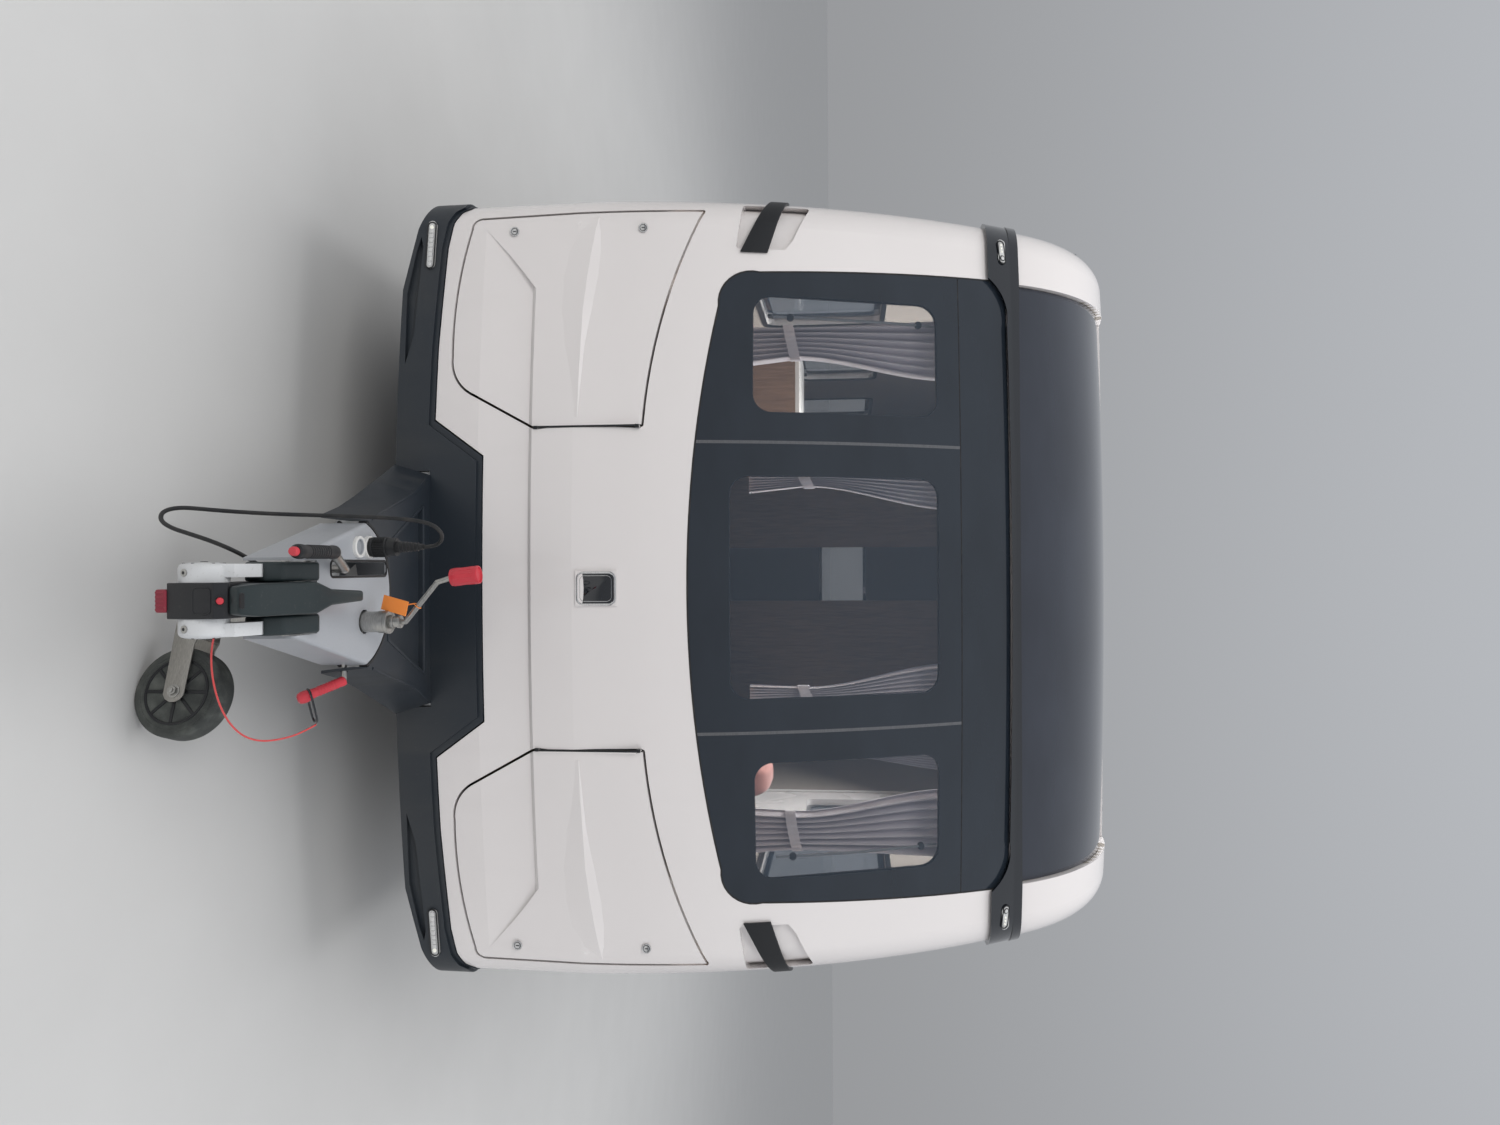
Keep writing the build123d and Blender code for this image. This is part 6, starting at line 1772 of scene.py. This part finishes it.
@dataclass
class Cords(Trim):
    """The road cable and the breakaway cable, on the routes of the source."""

    road: tuple = (
        (-109, -3013, 646), (-109, -3013, 670), (-121, -3024, 694), (-141, -3042, 702), (-159, -3058, 686),
        (-168, -3068, 652), (-173, -3082, 602), (-176, -3108, 530), (-178, -3143, 450), (-180, -3182, 370),
        (-184, -3222, 300), (-188, -3254, 258), (-190, -3282, 228), (-180, -3310, 212), (-160, -3330, 222),
        (-144, -3338, 252), (-131, -3340, 296), (-116, -3336, 340), (-98, -3318, 374), (-78, -3284, 392),
        (-58, -3244, 397), (-47, -3206, 397), (-46, -3168, 396))
    breakaway: tuple = (
        (301, -3045, 400), (316, -3078, 382), (323, -3120, 358), (320, -3165, 340), (305, -3205, 328),
        (278, -3240, 321), (243, -3270, 319), (206, -3296, 322), (165, -3322, 330), (128, -3345, 342),
        (96, -3364, 356), (74, -3378, 370))

    def cord(self, name: str, route: Sequence[tuple[float, float, float]], diameter: float, finish: str,
             length: float, stiffness: str, lay: str, pieces: Sequence[str]) -> bpy.types.Object:
        """One cord as a NURBS curve through its route's control points."""
        curve = bpy.data.curves.new(name, "CURVE")
        curve.dimensions = "3D"
        spline = curve.splines.new("NURBS")
        spline.points.add(len(route) - 1)
        for point, (x, y, z) in zip(spline.points, route):
            point.co = (x / 1000, y / 1000, z / 1000, 1.0)
        spline.order_u = 3
        spline.use_endpoint_u = True
        spline.resolution_u = 10
        curve.bevel_depth = diameter / 2
        curve.bevel_resolution = 6
        curve.materials.append(self.finishes[finish])
        obj = bpy.data.objects.new(f"{name}_line", curve)
        bpy.context.scene.collection.objects.link(obj)
        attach(obj, ROOT)
        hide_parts(name)
        LOG.info("%s: %d points", name, len(route))
        return obj

    def build(self) -> None:
        """Makes both cords."""
        self.cord("road_cable", self.road, 0.009, "cable_rubber", 1.016, "medium", "hanging",
                  [NODES["road_plug"]])
        self.cord("breakaway_cable", self.breakaway, 0.004, "cable_red", 0.481, "medium", "hanging",
                  [NODES["carabiner"]])


@dataclass
class Studio:
    """Pale floor, soft lights and the camera at the photograph's place."""

    eye: Vector = field(default_factory=lambda: Vector((-0.060, -5.290, 1.630)))
    pitch: float = -5.6
    yaw: float = 0.22
    roll: float = 0.3
    lens: float = 24.43

    def floor(self) -> None:
        """A pale floor that reaches far behind the caravan."""
        pale, worn = (0.60, 0.595, 0.585), (0.56, 0.555, 0.545)
        p = Paint("studio_floor", pale, 0.8)
        p.linked("Base Color", p.mix(p.noise(3.0, 5.0), pale, worn))
        form = Form()
        form.grid([[Vector((-60, -40, -0.0005)), Vector((60, -40, -0.0005))],
                   [Vector((-60, 80, -0.0005)), Vector((60, 80, -0.0005))]])
        mesh = form.mesh("studio_floor")
        mesh.materials.append(p.material)
        floor = bpy.data.objects.new("studio_floor", mesh)
        bpy.context.scene.collection.objects.link(floor)

    def area(self, name: str, at: Sequence[float], aim: Sequence[float], size: Pair,
             power: float, tint: RGB = (1, 1, 1)) -> None:
        """One soft rectangular light."""
        light = bpy.data.lights.new(name, "AREA")
        light.shape = "RECTANGLE"
        light.size, light.size_y = size
        light.energy = power
        light.color = tint
        obj = bpy.data.objects.new(name, light)
        obj.location = at
        obj.rotation_euler = (Vector(aim) - Vector(at)).to_track_quat("-Z", "Y").to_euler()
        obj.visible_glossy = False
        bpy.context.scene.collection.objects.link(obj)

    def sky(self) -> None:
        """A dim room, a little brighter overhead."""
        world = bpy.data.worlds.new("studio")
        bpy.context.scene.world = world
        world.use_nodes = True
        tree = world.node_tree
        back = next(n for n in tree.nodes if n.type == "BACKGROUND")
        coords = tree.nodes.new("ShaderNodeTexCoord")
        split = tree.nodes.new("ShaderNodeSeparateXYZ")
        tree.links.new(coords.outputs["Generated"], split.inputs[0])
        up = Socket(tree, split.outputs[2])
        mix = tree.nodes.new("ShaderNodeMix")
        mix.data_type = "RGBA"
        tree.links.new(up.ramp(-0.1, 0.75).out, mix.inputs[0])
        mix.inputs[6].default_value = (0.52, 0.53, 0.55, 1)
        mix.inputs[7].default_value = (0.84, 0.87, 0.92, 1)
        tree.links.new(mix.outputs[2], back.inputs["Color"])
        back.inputs["Strength"].default_value = 0.60

    def camera(self) -> None:
        """The photograph's camera: the picture's right is the caravan's up."""
        a, b = math.radians(self.pitch), math.radians(self.yaw)
        look = Vector((-math.sin(b) * math.cos(a), math.cos(b) * math.cos(a), math.sin(a)))
        right = UP - look * look.z
        right = Matrix.Rotation(math.radians(self.roll), 3, look) @ right.normalized()
        up = (-look).cross(right)
        turn = Matrix((right, up, -look)).transposed().to_4x4()
        data = bpy.data.cameras.new("photo_camera")
        data.sensor_fit = "HORIZONTAL"
        data.sensor_width = 36.0
        data.lens = self.lens
        data.clip_end = 200.0
        camera = bpy.data.objects.new("photo_camera", data)
        camera.matrix_world = Matrix.Translation(self.eye) @ turn
        bpy.context.scene.collection.objects.link(camera)
        bpy.context.scene.camera = camera

    def build(self) -> None:
        """Sets the whole studio."""
        self.floor()
        self.sky()
        self.area("key", (-4.5, -9.5, 6.5), (0, -1.5, 1.2), (6.0, 4.0), 400, (1.0, 0.985, 0.96))
        self.area("fill", (6.5, -6.5, 4.0), (0, -1.5, 1.0), (5.0, 4.0), 170, (0.95, 0.97, 1.0))
        self.area("top", (0, 0.5, 7.0), (0, 0.5, 0), (6.0, 9.0), 300)
        self.area("cabin", (0, -0.6, 2.30), (0, -1.6, 0.9), (1.2, 1.6), 130)
        self.camera()
        bpy.context.scene.view_settings.view_transform = "Standard"


def main() -> None:
    """Dresses the caravan and sets the studio."""
    finishes = Finishes()
    Shells(finishes).build()
    NoseTrim(finishes).build()
    HitchTrim(finishes).build()
    Softened(finishes).build()
    RunningGear(finishes).build()
    SideTrim(finishes).build()
    Cabin(finishes).build()
    Curtains(finishes).build()
    Cords(finishes).build()
    Studio().build()
    for obj in list(bpy.context.scene.objects):
        if obj.type == "MESH" and not obj.data.materials:
            LOG.info("%s has no finish", obj.name)


if __name__ == "__main__":
    main()
